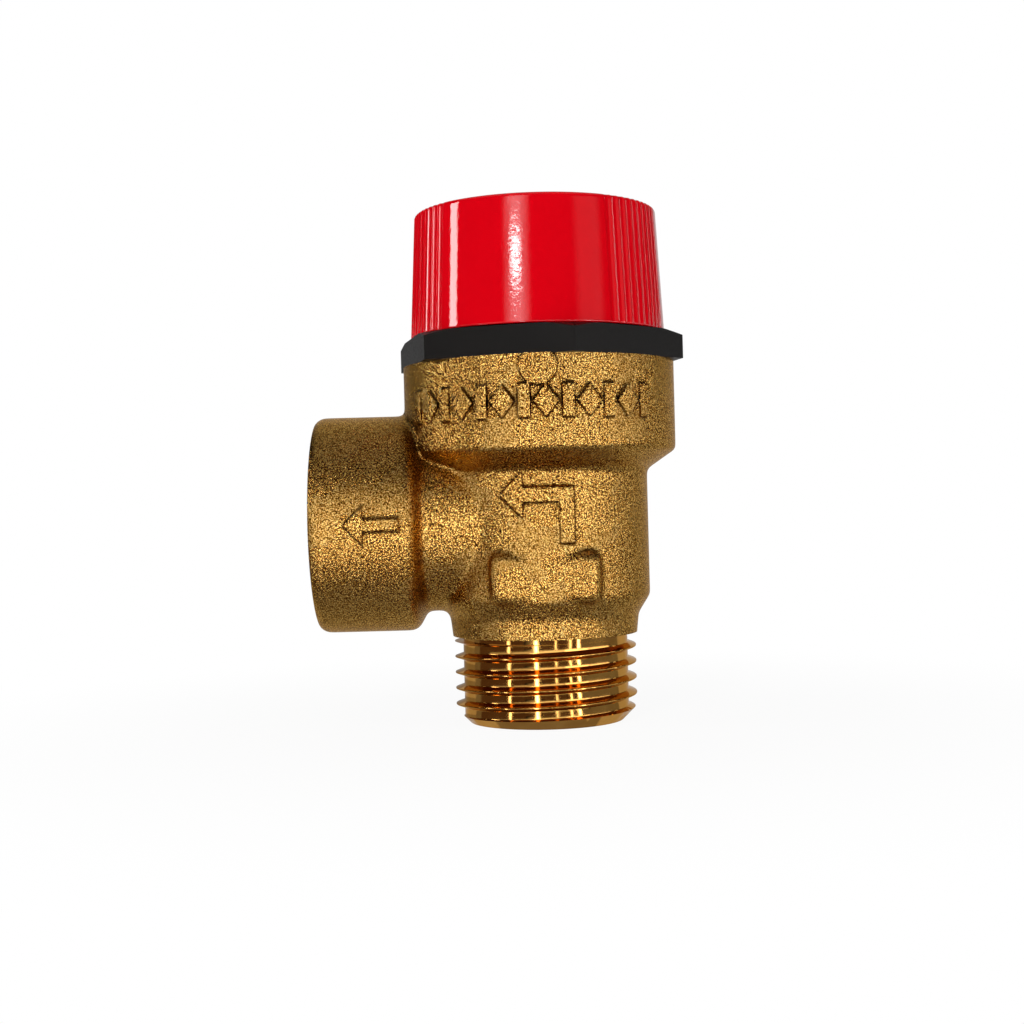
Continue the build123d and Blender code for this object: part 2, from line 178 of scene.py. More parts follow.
@dataclass(frozen=True)
class ForgedBrass:
    """Hot-forged brass, shot blasted: a grain with painted glints and shade, and oxide with painted
    shade in the corners.
    """

    # The blast leaves countless small dents, drawn as a bump. Their rims are painted pale as glints
    # and their pits painted dark as shade, so the metal looks like golden sand. Brown oxide, together
    # with painted shade, darkens the corners and hollows where the shot doesn't reach and little light
    # falls, and draws a dark line round raised marks. The dents are drawn coarser than real ones, so
    # that they show.
    # Painted glint on the dents' rims, then the plain brass, then painted shade in their pits.
    painted_glint: str = "#FFDA84"
    mid: str = "#D2923C"
    painted_pit_shade: str = "#331604"
    # Oxide with painted shade: the colour that corners and hollows darken to.
    oxide_and_shade: str = "#341A07"
    edge: str = "#F4DDBB"
    dent: float = 0.13
    dent_depth: float = 0.05
    # Where the dent pattern turns to painted pit shade, and where it turns to painted glint.
    pit_shade_range: Point = (0.43, 0.55)
    glint_range: Point = (0.53, 0.59)
    cloud: float = 5.0
    roughness: Point = (0.22, 0.3)
    # Painted shade with oxide: the dark line round raised marks, then the wide hollows, darkened by
    # how little open sky they see.
    corner: tuple[float, Point, float] = (0.7, (0.6, 0.88), 0.0)
    hollow: tuple[float, Point, float] = (4.5, (0.3, 0.8), 0.3)

    def clear_share(
        self, tree: bpy.types.NodeTree, shelter: tuple[float, Point, float]
    ) -> bpy.types.NodeSocket:
        """Find how free a place is of oxide and painted shade, by how open it is.

        Args:
            tree: The material's node tree.
            shelter: How far to look for walls, in millimetres; how open a place is that is still fully
                dark, and one that is clear; and how clear the most sheltered one is.

        Returns:
            1 where it is clear of oxide and painted shade, less in a shelter.
        """
        reach, (full_oxide_and_shade, clear_of_oxide_and_shade), least = shelter
        open_sky = add(
            tree,
            "ShaderNodeAmbientOcclusion",
            {"Distance": reach * MM},
            only_local=True,
            samples=6,
        ).outputs["AO"]
        return add(
            tree,
            "ShaderNodeMapRange",
            {"Value": open_sky, "From Min": full_oxide_and_shade, "From Max": clear_of_oxide_and_shade, "To Min": least},
            interpolation_type="SMOOTHSTEP",
        ).outputs["Result"]

    def material(self) -> bpy.types.Material:
        """Build the material."""
        material, tree, place = begun("forged_brass_shot_blasted")
        dents = add(
            tree,
            "ShaderNodeTexNoise",
            {"Vector": place, "Scale": 1 / (self.dent * MM), "Detail": 3.0, "Roughness": 0.7},
        ).outputs["Fac"]
        cloud = add(
            tree,
            "ShaderNodeTexNoise",
            {"Vector": place, "Scale": 1 / (self.cloud * MM), "Detail": 3.0},
        ).outputs["Fac"]
        # Painted shade in the dents' pits and painted glints on their rims, coloured by the dent
        # pattern.
        out_of_pit_shade = add(
            tree,
            "ShaderNodeMapRange",
            {"Value": dents, "From Min": self.pit_shade_range[0], "From Max": self.pit_shade_range[1]},
            interpolation_type="SMOOTHSTEP",
        ).outputs["Result"]
        glint_share = add(
            tree,
            "ShaderNodeMapRange",
            {"Value": dents, "From Min": self.glint_range[0], "From Max": self.glint_range[1]},
        ).outputs["Result"]
        # Painted shade and oxide: the skin darkens where walls close round it, as ambient occlusion
        # finds.
        clear_of_oxide_and_shade = add(
            tree,
            "ShaderNodeMath",
            {0: self.clear_share(tree, self.corner), 1: self.clear_share(tree, self.hollow)},
            operation="MULTIPLY",
        ).outputs[0]
        skin: Value = linear(self.mid)
        for share, low, high in (
            (out_of_pit_shade, linear(self.painted_pit_shade), None),
            (glint_share, None, linear(self.painted_glint)),
            (clear_of_oxide_and_shade, linear(self.oxide_and_shade), None),
        ):
            skin = add(
                tree,
                "ShaderNodeMix",
                {0: share, 6: low or skin, 7: high or skin},
                data_type="RGBA",
            ).outputs[2]
        low, high = self.roughness
        rough = add(
            tree,
            "ShaderNodeMapRange",
            {"Value": cloud, "From Min": 0.3, "From Max": 0.7, "To Min": low, "To Max": high},
        ).outputs["Result"]
        bump = add(
            tree,
            "ShaderNodeBump",
            {"Height": dents, "Strength": 1.0, "Distance": self.dent_depth * MM},
        ).outputs["Normal"]
        return surfaced(
            material,
            tree,
            {
                "Base Color": skin,
                "Metallic": 1.0,
                "Roughness": rough,
                "Specular Tint": linear(self.edge),
                "Normal": bump,
            },
        )


@dataclass(frozen=True)
class TurnedBrass:
    """Brass cut on a lathe: bright, with fine marks left by the tool."""

    # A sharp tool leaves metal that mirrors its surroundings, in tints between gold and
    # orange, and only slightly blurred. The tool's marks are drawn coarser than real ones, so
    # that they show.
    colour: str = "#DCA85C"
    worn: str = "#B47C3A"
    edge: str = "#F4DDBB"
    cloud: float = 2.5
    roughness: Point = (0.06, 0.12)
    mark: float = 0.12
    mark_depth: float = 0.002

    def material(self) -> bpy.types.Material:
        """Build the material."""
        material, tree, place = begun("brass_turned_bright")
        cloud, tint = clouded(tree, place, self.cloud, (self.worn, self.colour))
        low, high = self.roughness
        rough = add(
            tree,
            "ShaderNodeMapRange",
            {"Value": cloud, "From Min": 0.3, "From Max": 0.7, "To Min": low, "To Max": high},
        ).outputs["Result"]
        marks = add(
            tree, "ShaderNodeTexNoise", {"Vector": place, "Scale": 1 / (self.mark * MM)}
        ).outputs["Fac"]
        bump = add(
            tree,
            "ShaderNodeBump",
            {"Height": marks, "Strength": 1.0, "Distance": self.mark_depth * MM},
        ).outputs["Normal"]
        return surfaced(
            material,
            tree,
            {
                "Base Color": tint,
                "Metallic": 1.0,
                "Roughness": rough,
                "Specular Tint": linear(self.edge),
                "Normal": bump,
            },
        )


@dataclass(frozen=True)
class Plastic:
    """A moulded plastic: its colour drifts slightly and its skin is never quite flat.

    Where the melt met itself in the mould, along a line up the wall, the skin is finely peeled.
    """

    name: str
    colour: str
    shadow: str
    roughness: float
    roughness_spread: float
    wave: float
    wave_depth: float
    ior: float = 1.53
    specular: float = 0.5
    cloud: float = 6.0
    peel: float = 0.2
    peel_depth: float = 0.0
    peel_line: float = -2.7
    peel_reach: Point = (1.2, 3.4)

    def material(self) -> bpy.types.Material:
        """Build the material."""
        material, tree, place = begun(self.name)
        _, tint = clouded(tree, place, self.cloud, (self.shadow, self.colour), 2.0)
        skin = add(
            tree,
            "ShaderNodeTexNoise",
            {"Vector": place, "Scale": 1 / (self.wave * MM), "Detail": 3.0},
        ).outputs["Fac"]
        rough = add(
            tree,
            "ShaderNodeMapRange",
            {
                "Value": skin,
                "From Min": 0.3,
                "From Max": 0.7,
                "To Min": self.roughness,
                "To Max": self.roughness + self.roughness_spread,
            },
        ).outputs["Result"]
        bump = add(
            tree,
            "ShaderNodeBump",
            {"Height": skin, "Strength": 1.0, "Distance": self.wave_depth * MM},
        ).outputs["Normal"]
        if self.peel_depth:
            bump = self.peeled(tree, place, bump)
        return surfaced(
            material,
            tree,
            {
                "Base Color": tint,
                "Roughness": rough,
                "IOR": self.ior,
                "Specular IOR Level": self.specular,
                "Normal": bump,
            },
        )

    def peeled(
        self, tree: bpy.types.NodeTree, place: bpy.types.NodeSocket, bump: bpy.types.NodeSocket
    ) -> bpy.types.NodeSocket:
        """Roughen the skin along the line where the melt met.

        Args:
            tree: The material's node tree.
            place: The piece's own coordinates.
            bump: The normal so far.

        Returns:
            The normal with the fine peel on it.
        """
        aside = add(
            tree,
            "ShaderNodeMath",
            {0: add(tree, "ShaderNodeSeparateXYZ", {0: place}).outputs["X"], 1: self.peel_line * MM},
            operation="SUBTRACT",
        ).outputs[0]
        away = add(tree, "ShaderNodeMath", {0: aside}, operation="ABSOLUTE").outputs[0]
        start, end = (reach * MM for reach in self.peel_reach)
        amount = add(
            tree,
            "ShaderNodeMapRange",
            {"Value": away, "From Min": start, "From Max": end, "To Min": 1.0, "To Max": 0.06},
            interpolation_type="SMOOTHSTEP",
        ).outputs["Result"]
        fine = add(
            tree,
            "ShaderNodeTexNoise",
            {"Vector": place, "Scale": 1 / (self.peel * MM), "Detail": 2.0},
        ).outputs["Fac"]
        height = add(tree, "ShaderNodeMath", {0: fine, 1: amount}, operation="MULTIPLY").outputs[0]
        return add(
            tree,
            "ShaderNodeBump",
            {"Height": height, "Distance": self.peel_depth * MM, "Normal": bump},
        ).outputs["Normal"]


# ABS from a polished mould: an even, deep red under sharp white reflections that waver a little.
# The peel is drawn coarser than a real one, so that it breaks up the reflection.
RED_ABS = Plastic(
    "abs_moulded_red", "#DA0213", "#D00010", 0.035, 0.03, 0.6, 0.008, peel_depth=0.0032
)
# Glass-filled nylon: fibres at its skin scatter the light, so it is near black with a dull sheen.
BLACK_NYLON = Plastic(
    "nylon_glass_filled_black", "#100D0B", "#090706", 0.36, 0.12, 0.25, 0.008, specular=0.15
)
# Acetal: off-white and slightly waxy, with a wide soft shine.
WHITE_ACETAL = Plastic("acetal_moulded_white", "#E2E1DA", "#D4D2C8", 0.4, 0.1, 0.4, 0.004, 1.48)
# Moulded rubber: charcoal and dull, with next to no shine.
RUBBER = Plastic("epdm_rubber_moulded", "#1A1A1A", "#111111", 0.55, 0.15, 0.3, 0.01, 1.52)


@dataclass(frozen=True)
class Steel:
    """A plated or drawn steel: grey metal with a fine clouding of its shine."""

    name: str
    colour: str
    shadow: str
    roughness: float
    cloud: float
    roughness_spread: float = 0.15

    def material(self) -> bpy.types.Material:
        """Build the material."""
        material, tree, place = begun(self.name)
        cloud, tint = clouded(tree, place, self.cloud, (self.shadow, self.colour))
        low, high = self.roughness, self.roughness + self.roughness_spread
        rough = add(
            tree, "ShaderNodeMapRange", {"Value": cloud, "To Min": low, "To Max": high}
        ).outputs["Result"]
        return surfaced(
            material, tree, {"Base Color": tint, "Metallic": 1.0, "Roughness": rough}
        )


# Drawn wire: plain grey steel, its shine softened by the die.
SPRING_STEEL = Steel("spring_steel_drawn", "#A9A9AC", "#828287", 0.28, 1.2)
# Zinc plating: paler and a little blue, with cloudy patches in its shine.
ZINC_STEEL = Steel("steel_zinc_plated", "#C9CBD0", "#A8ABB2", 0.24, 0.8)


@cache
def finished(finish: ForgedBrass | TurnedBrass | Plastic | Steel) -> bpy.types.Material:
    """Build a finish's material once, for every piece that has it.

    Args:
        finish: One of the finishes above.

    Returns:
        Its material.
    """
    return finish.material()


# ------------------------------------------------------------------ modelling


class Cut(Enum):
    """What a boolean does with its second piece."""

    AWAY = "DIFFERENCE"
    WITHIN = "INTERSECT"
    ONTO = "UNION"


def deselect_all() -> None:
    """Clear the selection, so that an operator acts only on what is picked next."""
    bpy.ops.object.select_all(action="DESELECT")


def only(piece: Piece) -> Piece:
    """Make one piece the selected and active one.

    Args:
        piece: The object to work on.

    Returns:
        The same object.
    """
    deselect_all()
    piece.select_set(True)
    bpy.context.view_layer.objects.active = piece
    return piece


def fresh(name: str) -> Piece:
    """Name the primitive that was just added and settle its place into its mesh.

    Args:
        name: The piece's name.

    Returns:
        The new piece, alone in the selection.
    """
    piece = only(bpy.context.active_object)
    piece.name = name
    piece.data.name = name
    bpy.ops.object.transform_apply(location=True, rotation=True, scale=True)
    return piece


@contextmanager
def editing(piece: Piece) -> Iterator[None]:
    """Work on a piece in edit mode.

    Args:
        piece: The mesh object to edit.

    Yields:
        Nothing; edit mode ends with the block.
    """
    only(piece)
    bpy.ops.object.mode_set(mode="EDIT")
    yield
    bpy.ops.object.mode_set(mode="OBJECT")


def modify(piece: Piece, kind: str, **settings: object) -> Piece:
    """Add a modifier, set it and apply it.

    Args:
        piece: The mesh object.
        kind: Blender's name for the modifier's type.
        **settings: The modifier's values.

    Returns:
        The same object.
    """
    only(piece)
    modifier = piece.modifiers.new(kind.lower(), kind)
    for key, value in settings.items():
        setattr(modifier, key, value)
    bpy.ops.object.modifier_apply(modifier=modifier.name)
    return piece


def carve(piece: Piece, tool: Piece, cut: Cut = Cut.AWAY) -> Piece:
    """Combine two closed pieces and drop the second.

    Args:
        piece: The piece that is kept.
        tool: The piece that is used up.
        cut: How the two are combined.

    Returns:
        The first piece.
    """
    modify(piece, "BOOLEAN", object=tool, operation=cut.value, solver="MANIFOLD")
    bpy.data.objects.remove(tool)
    return piece


def smoothed(piece: Piece, crease: float, evened: bool = False) -> Piece:
    """Shade a piece smooth between its creases.

    Args:
        piece: The mesh object.
        crease: Edges that turn by more than this stay sharp, in degrees.
        evened: Whether large faces keep their own shading next to small rounds.

    Returns:
        The same object.
    """
    only(piece)
    bpy.ops.object.shade_smooth_by_angle(angle=math.radians(crease))
    if evened:
        modify(piece, "WEIGHTED_NORMAL", weight=100, keep_sharp=True)
    return piece


def face_outwards() -> None:
    """In edit mode, select everything and turn all faces outwards."""
    bpy.ops.mesh.select_all(action="SELECT")
    bpy.ops.mesh.normals_make_consistent(inside=False)


def joined(pieces: Sequence[Piece], name: str) -> Piece:
    """Join pieces into the first one.

    Args:
        pieces: Mesh objects; the first one stays.
        name: The joined piece's name.

    Returns:
        The joined object.
    """
    only(pieces[0])
    for piece in pieces[1:]:
        piece.select_set(True)
    bpy.ops.object.join()
    pieces[0].name = name
    return pieces[0]


def twin(piece: Piece, name: str) -> Piece:
    """Copy a piece with a mesh of its own.

    Args:
        piece: The object to copy.
        name: The copy's name.

    Returns:
        The copy.
    """
    only(piece)
    bpy.ops.object.duplicate()
    copy = bpy.context.active_object
    copy.name = name
    return copy


def placed(piece: Piece, matrix: Matrix) -> Piece:
    """Move a piece by a matrix and settle it into its mesh.

    Args:
        piece: The object to move.
        matrix: Where it goes.

    Returns:
        The same object.
    """
    only(piece)
    piece.matrix_world = matrix
    bpy.ops.object.transform_apply(location=True, rotation=True, scale=True)
    return piece


def lathe(name: str, outline: Sequence[Point], segments: int = 128) -> Piece:
    """Turn a solid about Z by drawing a disc up through its rings.

    Args:
        name: The piece's name.
        outline: (radius, height) of each ring in millimetres, from the bottom up.
        segments: How many sides each ring has.

    Returns:
        The closed solid.
    """
    radius = outline[0][0]
    deselect_all()
    bpy.ops.mesh.primitive_circle_add(vertices=segments, radius=radius * MM, fill_type="NGON")
    return drawn_up(fresh(name), radius, outline)


def drawn_up(piece: Piece, radius: float, outline: Sequence[Point]) -> Piece:
    """Draw a flat face about Z up through rings, each a larger or smaller copy of it.

    Args:
        piece: The face, at no height.
        radius: Its radius in millimetres.
        outline: (radius, height) of each ring in millimetres, from the bottom up.

    Returns:
        The closed solid.
    """
    level = 0.0
    with editing(piece):
        bpy.ops.mesh.select_all(action="SELECT")
        foot_radius, level = outline[0]
        grow = foot_radius / radius
        bpy.ops.transform.resize(value=(grow, grow, 1), center_override=(0, 0, 0))
        bpy.ops.transform.translate(value=(0, 0, level * MM))
        radius = foot_radius
        for next_radius, next_level in outline[1:]:
            rise = (0, 0, (next_level - level) * MM)
            bpy.ops.mesh.extrude_region_move(TRANSFORM_OT_translate={"value": rise})
            grow = next_radius / radius
            bpy.ops.transform.resize(
                value=(grow, grow, 1), center_override=(0, 0, next_level * MM)
            )
            radius, level = next_radius, next_level
        face_outwards()
    return piece


def soften(outline: Sequence[Point], radii: Sequence[float], steps: int = 5) -> list[Point]:
    """Round the corners of an open outline.

    Args:
        outline: (radius, height) points in millimetres.
        radii: One corner radius for each point; 0 keeps a corner sharp.
        steps: How many short sides each round has.

    Returns:
        The outline with its round corners drawn out.
    """
    points = [Vector(point) for point in outline]
    drawn: list[Vector] = []
    for i, (point, radius) in enumerate(zip(points, radii)):
        if radius == 0 or i in (0, len(points) - 1):
            drawn.append(point)
            continue
        back = (points[i - 1] - point).normalized()
        ahead = (points[i + 1] - point).normalized()
        half_turn = back.angle(ahead) / 2
        reach = radius / math.tan(half_turn)
        centre = point + (back + ahead).normalized() * (radius / math.sin(half_turn))
        start = point + back * reach - centre
        end = point + ahead * reach - centre
        sweep = start.angle_signed(end)
        for step in range(steps + 1):
            turn = Matrix.Rotation(-sweep * step / steps, 2)
            drawn.append(centre + turn @ start)
    return [(point.x, point.y) for point in drawn]


def chain(name: str, outline: Sequence[Point]) -> Piece:
    """Draw an open line of edges in the XZ plane.

    Args:
        name: The piece's name.
        outline: (radius, height) points in millimetres.

    Returns:
        A mesh of edges only.
    """
    deselect_all()
    bpy.ops.mesh.primitive_plane_add(size=MM)
    piece = fresh(name)
    here = Vector((outline[0][0], 0, outline[0][1])) * MM
    with editing(piece):
        bpy.ops.mesh.select_mode(type="VERT")
        bpy.ops.mesh.select_all(action="SELECT")
        bpy.ops.mesh.merge(type="CENTER")
        bpy.ops.transform.translate(value=here)
        for radius, level in outline[1:]:
            there = Vector((radius, 0, level)) * MM
            bpy.ops.mesh.extrude_region_move(TRANSFORM_OT_translate={"value": there - here})
            here = there
    return piece


def weld(piece: Piece, reach: float = 0.001) -> Piece:
    """Merge the points that lie on each other and turn the faces outwards.

    Args:
        piece: The mesh object.
        reach: How far apart two points may be, in millimetres.

    Returns:
        The same object.
    """
    with editing(piece):
        bpy.ops.mesh.select_all(action="SELECT")
        bpy.ops.mesh.remove_doubles(threshold=reach * MM)
        face_outwards()
    return piece


def close_ends(piece: Piece, low: float, high: float) -> None:
    """Draw each open end of a screwed tube to a point on its axis.

    Args:
        piece: The open tube about Z, its turns welded.
        low: Height of the lower point, in millimetres.
        high: Height of the upper point, in millimetres.
    """
    middle = (low + high) / 2 * MM
    for level in (low, high):
        with editing(piece):
            bpy.ops.mesh.select_mode(type="VERT")
            bpy.ops.mesh.select_all(action="DESELECT")
            bpy.ops.mesh.select_non_manifold()
        for edge in piece.data.edges:
            ends = [piece.data.vertices[i].co.z for i in edge.vertices]
            edge.select = edge.select and all((z > middle) == (level * MM > middle) for z in ends)
        for vertex in piece.data.vertices:
            vertex.select = vertex.select and (vertex.co.z > middle) == (level * MM > middle)
        with editing(piece):
            bpy.ops.mesh.extrude_region_move()
            bpy.ops.mesh.merge(type="CENTER")
        tip = next(vertex.co for vertex in piece.data.vertices if vertex.select)
        shift = Vector((0, 0, level * MM)) - tip
        with editing(piece):
            bpy.ops.transform.translate(value=shift)
    weld(piece)


@dataclass(frozen=True)
class PipeThread:
    """A half-inch parallel pipe thread, in millimetres."""

    major_r: float = 10.4775
    pitch: float = 1.814
    depth: float = 1.1616
    crest: float = 0.3
    root: float = 0.3
    tip_round: float = 0.14
    root_round: float = 0.14
    steps: int = 120

    @property
    def minor_r(self) -> float:
        """Return the radius at the thread's roots."""
        return self.major_r - self.depth

    def rod(self, name: str, start: float, turns: int) -> Piece:
        """Screw a solid rod with the thread on it, right-hand, about Z.

        Args:
            name: The piece's name.
            start: Height of the first groove's middle at +X.
            turns: How many turns of thread it has.

        Returns:
            The closed rod.
        """
        outline = [
            (self.minor_r, 0),
            (self.minor_r, self.root / 2),
            (self.major_r, self.pitch / 2 - self.crest / 2),
            (self.major_r, self.pitch / 2 + self.crest / 2),
            (self.minor_r, self.pitch - self.root / 2),
            (self.minor_r, self.pitch),
        ]
        rounds = [0, self.root_round, self.tip_round, self.tip_round, self.root_round, 0]
        drawn = [(r, z + start) for r, z in soften(outline, rounds, 4)]
        piece = chain(name, drawn)
        modify(
            piece,
            "SCREW",
            axis="Z",
            steps=self.steps,
            render_steps=self.steps,
            iterations=turns,
            screw_offset=self.pitch * MM,
        )
        weld(piece)
        end = start + (turns + 1) * self.pitch
        close_ends(piece, start - self.pitch, end + self.pitch)
        return piece


def filled(name: str, outline: Sequence[Point], depth: float) -> Piece:
    """Fill a closed outline in the XZ plane and draw it out towards -Y.

    Args:
        name: The piece's name.
        outline: (x, z) corners in millimetres.
        depth: How far it is drawn out, in millimetres.

    Returns:
        The closed prism.
    """
    piece = chain(name, outline)
    with editing(piece):
        bpy.ops.mesh.select_all(action="SELECT")
        bpy.ops.mesh.edge_face_add()
        bpy.ops.mesh.extrude_region_move(TRANSFORM_OT_translate={"value": (0, -depth * MM, 0)})
        face_outwards()
    return piece


def box(name: str, low: Sequence[float], high: Sequence[float]) -> Piece:
    """Add a block between two corners.

    Args:
        name: The piece's name.
        low: The lowest corner in millimetres.
        high: The highest corner in millimetres.

    Returns:
        The block.
    """
    middle = [(a + b) / 2 * MM for a, b in zip(low, high)]
    size = [(b - a) * MM for a, b in zip(low, high)]
    deselect_all()
    bpy.ops.mesh.primitive_cube_add(size=1, location=middle, scale=size)
    return fresh(name)


# -------------------------------------------------------------------- the body


@dataclass
class Forging:
    """The forged brass body with its machined connections, in millimetres."""

    pipe: PipeThread = PipeThread()
    male: PipeThread = PipeThread(depth=0.98, crest=0.16, root=0.95, tip_round=0.07, root_round=0.12)
    thread_end: float = 9.4
    lead_in: float = 1.6
    spigot_top: float = 10.0
    inlet_r: float = 7.25
    inlet_depth: float = 12.0

    neck_r: float = 10.55
    neck_top_r: float = 10.9
    neck_top: float = 12.2
    shoulder_top: float = 14.3
    barrel_r: float = 12.25
    barrel_top: float = 28.65
    bowl_r: float = 15.6
    bowl_bottom: float = 30.9
    bowl_top: float = 40.95

    outlet_z: float = 23.1
    outlet_reach: float = 25.7
    outlet_r: float = 12.4
    outlet_shoulder: float = 14.0
    shoulder_slope: float = 1.2
    outlet_neck_r: float = 10.2
    mouth_round: float = 1.3
    outlet_thread_depth: float = 8.6
    outlet_bore_depth: float = 9.7
    passage_r: float = 6.2

    seat_r: float = 6.5
    seat_outer_r: float = 8.0
    seat_z: float = 20.5
    seat_lip: float = 0.8
    seat_lip_height: float = 0.6
    chamber_floor: float = 16.9
    chamber_r: float = 10.0
    ledge_z: float = 31.0
    bonnet_r: float = 13.0

    mark_height: float = 0.46
    pad_width: float = 12.2
    pad_height: float = 5.9
    pad_drop: float = 0.4
    pad_corner: float = 1.3
    boss_r: float = 2.05
    boss_side: float = 0.35
    boss_drop: float = 1.3
    boss_proud: float = 0.55
    band_z: float = 35.9
    band_marks: int = 13
    band_step: float = 8.6
    band_centre: float = -7.0
    bar_width: float = 1.3
    bar_height: float = 3.6
    lozenge_width: float = 2.8
    flow_mark_line: float = 1.6
    flow_mark_size: float = 8.2
    flow_mark_z: float = 24.7
    arrow_line: float = 1.3
    arrow_length: float = 6.0
    arrow_start: float = 1.8

    # The grid in millimetres and the rounds of smoothing, first for the blended solids and
    # then for the marks on them.
    blend: tuple[float, int] = (0.27, 10)
    quick_blend: tuple[float, int] = (0.5, 4)
    finish: tuple[float, int] = (0.15, 1)
    quick_finish: tuple[float, int] = (0.3, 1)
    # The most faces that the blended forging keeps before its threads are cut.
    most_faces: int = 150_000
    crease: float = 35.0
    # Keeps two rings of an outline apart, and catches the faces that lie on a cut.
    hair: float = 0.01
    # How far out the tool has cut the outlet's mouth.
    tapped_r: float = 11.7

    @property
    def outward(self) -> Matrix:
        """Return the turn that lays a piece made on Z along the outlet."""
        height = Matrix.Translation((0, 0, self.outlet_z * MM))
        return height @ Matrix.Rotation(-math.pi / 2, 4, "Y")

    def trunk(self) -> Piece:
        """Turn the upright part, a little long at both ends."""
        corners = [
            (self.neck_r, self.spigot_top - 1),
            (self.neck_top_r, self.neck_top),
            (self.barrel_r, self.shoulder_top),
            (self.barrel_r, self.barrel_top),
            (self.bowl_r, self.bowl_bottom),
            (self.bowl_r, self.bowl_top + 1),
        ]
        return lathe("trunk", soften(corners, [0, 0.3, 0.4, 0.4, 0.4, 0]), 180)

    def branch(self) -> Piece:
        """Turn the outlet's tube and lay it along its axis."""
        spare = 0.3
        end = self.outlet_reach + spare
        corners = [
            (self.outlet_neck_r, 0),
            (self.outlet_neck_r, self.outlet_shoulder - self.shoulder_slope / 2),
            (self.outlet_r, self.outlet_shoulder + self.shoulder_slope / 2),
            (self.outlet_r, end),
            (self.outlet_r - 4, end),
        ]
        rounds = [0, 0.6, 1.4, self.mouth_round, 0]
        return placed(lathe("branch", soften(corners, rounds, 8), 160), self.outward)

    def pad(self, turn: float) -> Piece:
        """Raise a spanner flat on the shoulder.

        Args:
            turn: Its angle about Z from the front, in degrees.

        Returns:
            The pad's block.
        """
        bottom = self.shoulder_top - self.pad_drop
        top = bottom + self.pad_height
        half = self.pad_width / 2
        block = box("pad", (-half, -self.barrel_r, bottom), (half, 0, top))
        for edge in block.data.edges:
            ends = [block.data.vertices[i].co for i in edge.vertices]
            edge.select = all(co.z > (top - 0.1) * MM for co in ends) and ends[0].x == ends[1].x
        with editing(block):
            bpy.ops.mesh.select_mode(type="EDGE")
            bpy.ops.mesh.bevel(offset=self.pad_corner * MM, segments=6)
        return placed(block, Matrix.Rotation(math.radians(turn), 4, "Z"))

    def boss(self) -> Piece:
        """Raise the round boss under the bonnet's rim."""
        reach = self.bowl_r + self.boss_proud
        height = self.bowl_top - self.boss_drop
        deselect_all()
        bpy.ops.mesh.primitive_cylinder_add(
            vertices=48,
            radius=self.boss_r * MM,
            depth=reach * MM,
            location=(-self.boss_side * MM, -reach / 2 * MM, height * MM),
            rotation=(math.pi / 2, 0, 0),
        )
        return fresh("boss")

    def band(self) -> list[Piece]:
        """Raise the plain bars and lozenges round the front of the bowl."""
        low, high = self.band_z - self.bar_height, self.band_z + self.bar_height
        marks = []
        for i in range(self.band_marks):
            half = (self.lozenge_width if i % 2 else self.bar_width) / 2
            tall = self.bar_height / 2
            corners = [(half, 0), (0, tall), (-half, 0), (0, -tall)]
            if i % 2 == 0:
                corners = [(half, -tall), (half, tall), (-half, tall), (-half, -tall)]
            mark = filled("mark", corners, self.bowl_r + 2)
            turn = self.band_centre + (i - (self.band_marks - 1) / 2) * self.band_step
            height = Matrix.Translation((0, 0, self.band_z * MM))
            placed(mark, Matrix.Rotation(math.radians(turn), 4, "Z") @ height)
            shell = lathe("shell", [(self.bowl_r + self.mark_height, z) for z in (low, high)], 180)
            marks.append(carve(mark, shell, Cut.WITHIN))
        return marks

    def arrow(self, length: float, line: float) -> list[Point]:
        """Outline a flat arrow from the origin towards -X.

        Args:
            length: Its whole length in millimetres.
            line: The width of its shaft in millimetres.

        Returns:
            The corners, in order.
        """
        head = 1.6 * line
        neck = length - head
        upper = [(0, line / 2), (-neck, line / 2), (-neck, head), (-length, 0)]
        return upper + [(x, -z) for x, z in reversed(upper[:-1])]

    def flow_mark(self) -> Piece:
        """Raise the bent arrow on the barrel: in from below, out to the side."""
        size, line = self.flow_mark_size, self.flow_mark_line
        half = size / 2
        depth = self.barrel_r + 1
        level = half / 2 - line / 2
        shaft = [(half - 1.5 * line, -half), (half - line / 2, -half)]
        shaft += [(x, half / 2) for x, _ in reversed(shaft)]
        mark = filled("flow_mark", shaft, depth)
        point = filled("point", self.arrow(size, line), depth)
        placed(point, Matrix.Translation(((half - line / 2) * MM, 0, level * MM)))
        carve(mark, point, Cut.ONTO)
        placed(mark, Matrix.Translation((0, 0, self.flow_mark_z * MM)))
        limit = self.barrel_r + self.mark_height
        shell = lathe("shell", [(limit, self.neck_top), (limit, self.bowl_bottom)], 180)
        return carve(mark, shell, Cut.WITHIN)

    def outlet_mark(self) -> Piece:
        """Raise the arrow on the outlet's tube, pointing out of its mouth."""
        corners = self.arrow(self.arrow_length, self.arrow_line)
        mark = filled("outlet_mark", corners, self.outlet_r + 1)
        start = -(self.outlet_shoulder + self.arrow_start)
        placed(mark, Matrix.Translation((start * MM, 0, self.outlet_z * MM)))
        limit = self.outlet_r + self.mark_height
        shell = lathe("shell", [(limit, 0), (limit, self.outlet_reach)], 160)
        return carve(mark, placed(shell, self.outward), Cut.WITHIN)

    def forged(self) -> Piece:
        """Blend the solids into one forging, stand the raised marks on it and ease them."""
        piece = self.trunk()
        for part in (self.branch(), self.pad(0), self.pad(180)):
            carve(piece, part, Cut.ONTO)
        marks = (self.boss(), *self.band(), self.flow_mark(), self.outlet_mark())
        steps = ((self.blend, self.finish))
        for parts, (grid, rounds) in zip(((), marks), steps):
            for part in parts:
                carve(piece, part, Cut.ONTO)
            modify(piece, "REMESH", mode="VOXEL", voxel_size=grid * MM)
            modify(piece, "SMOOTH", factor=0.5, iterations=rounds)
        return piece

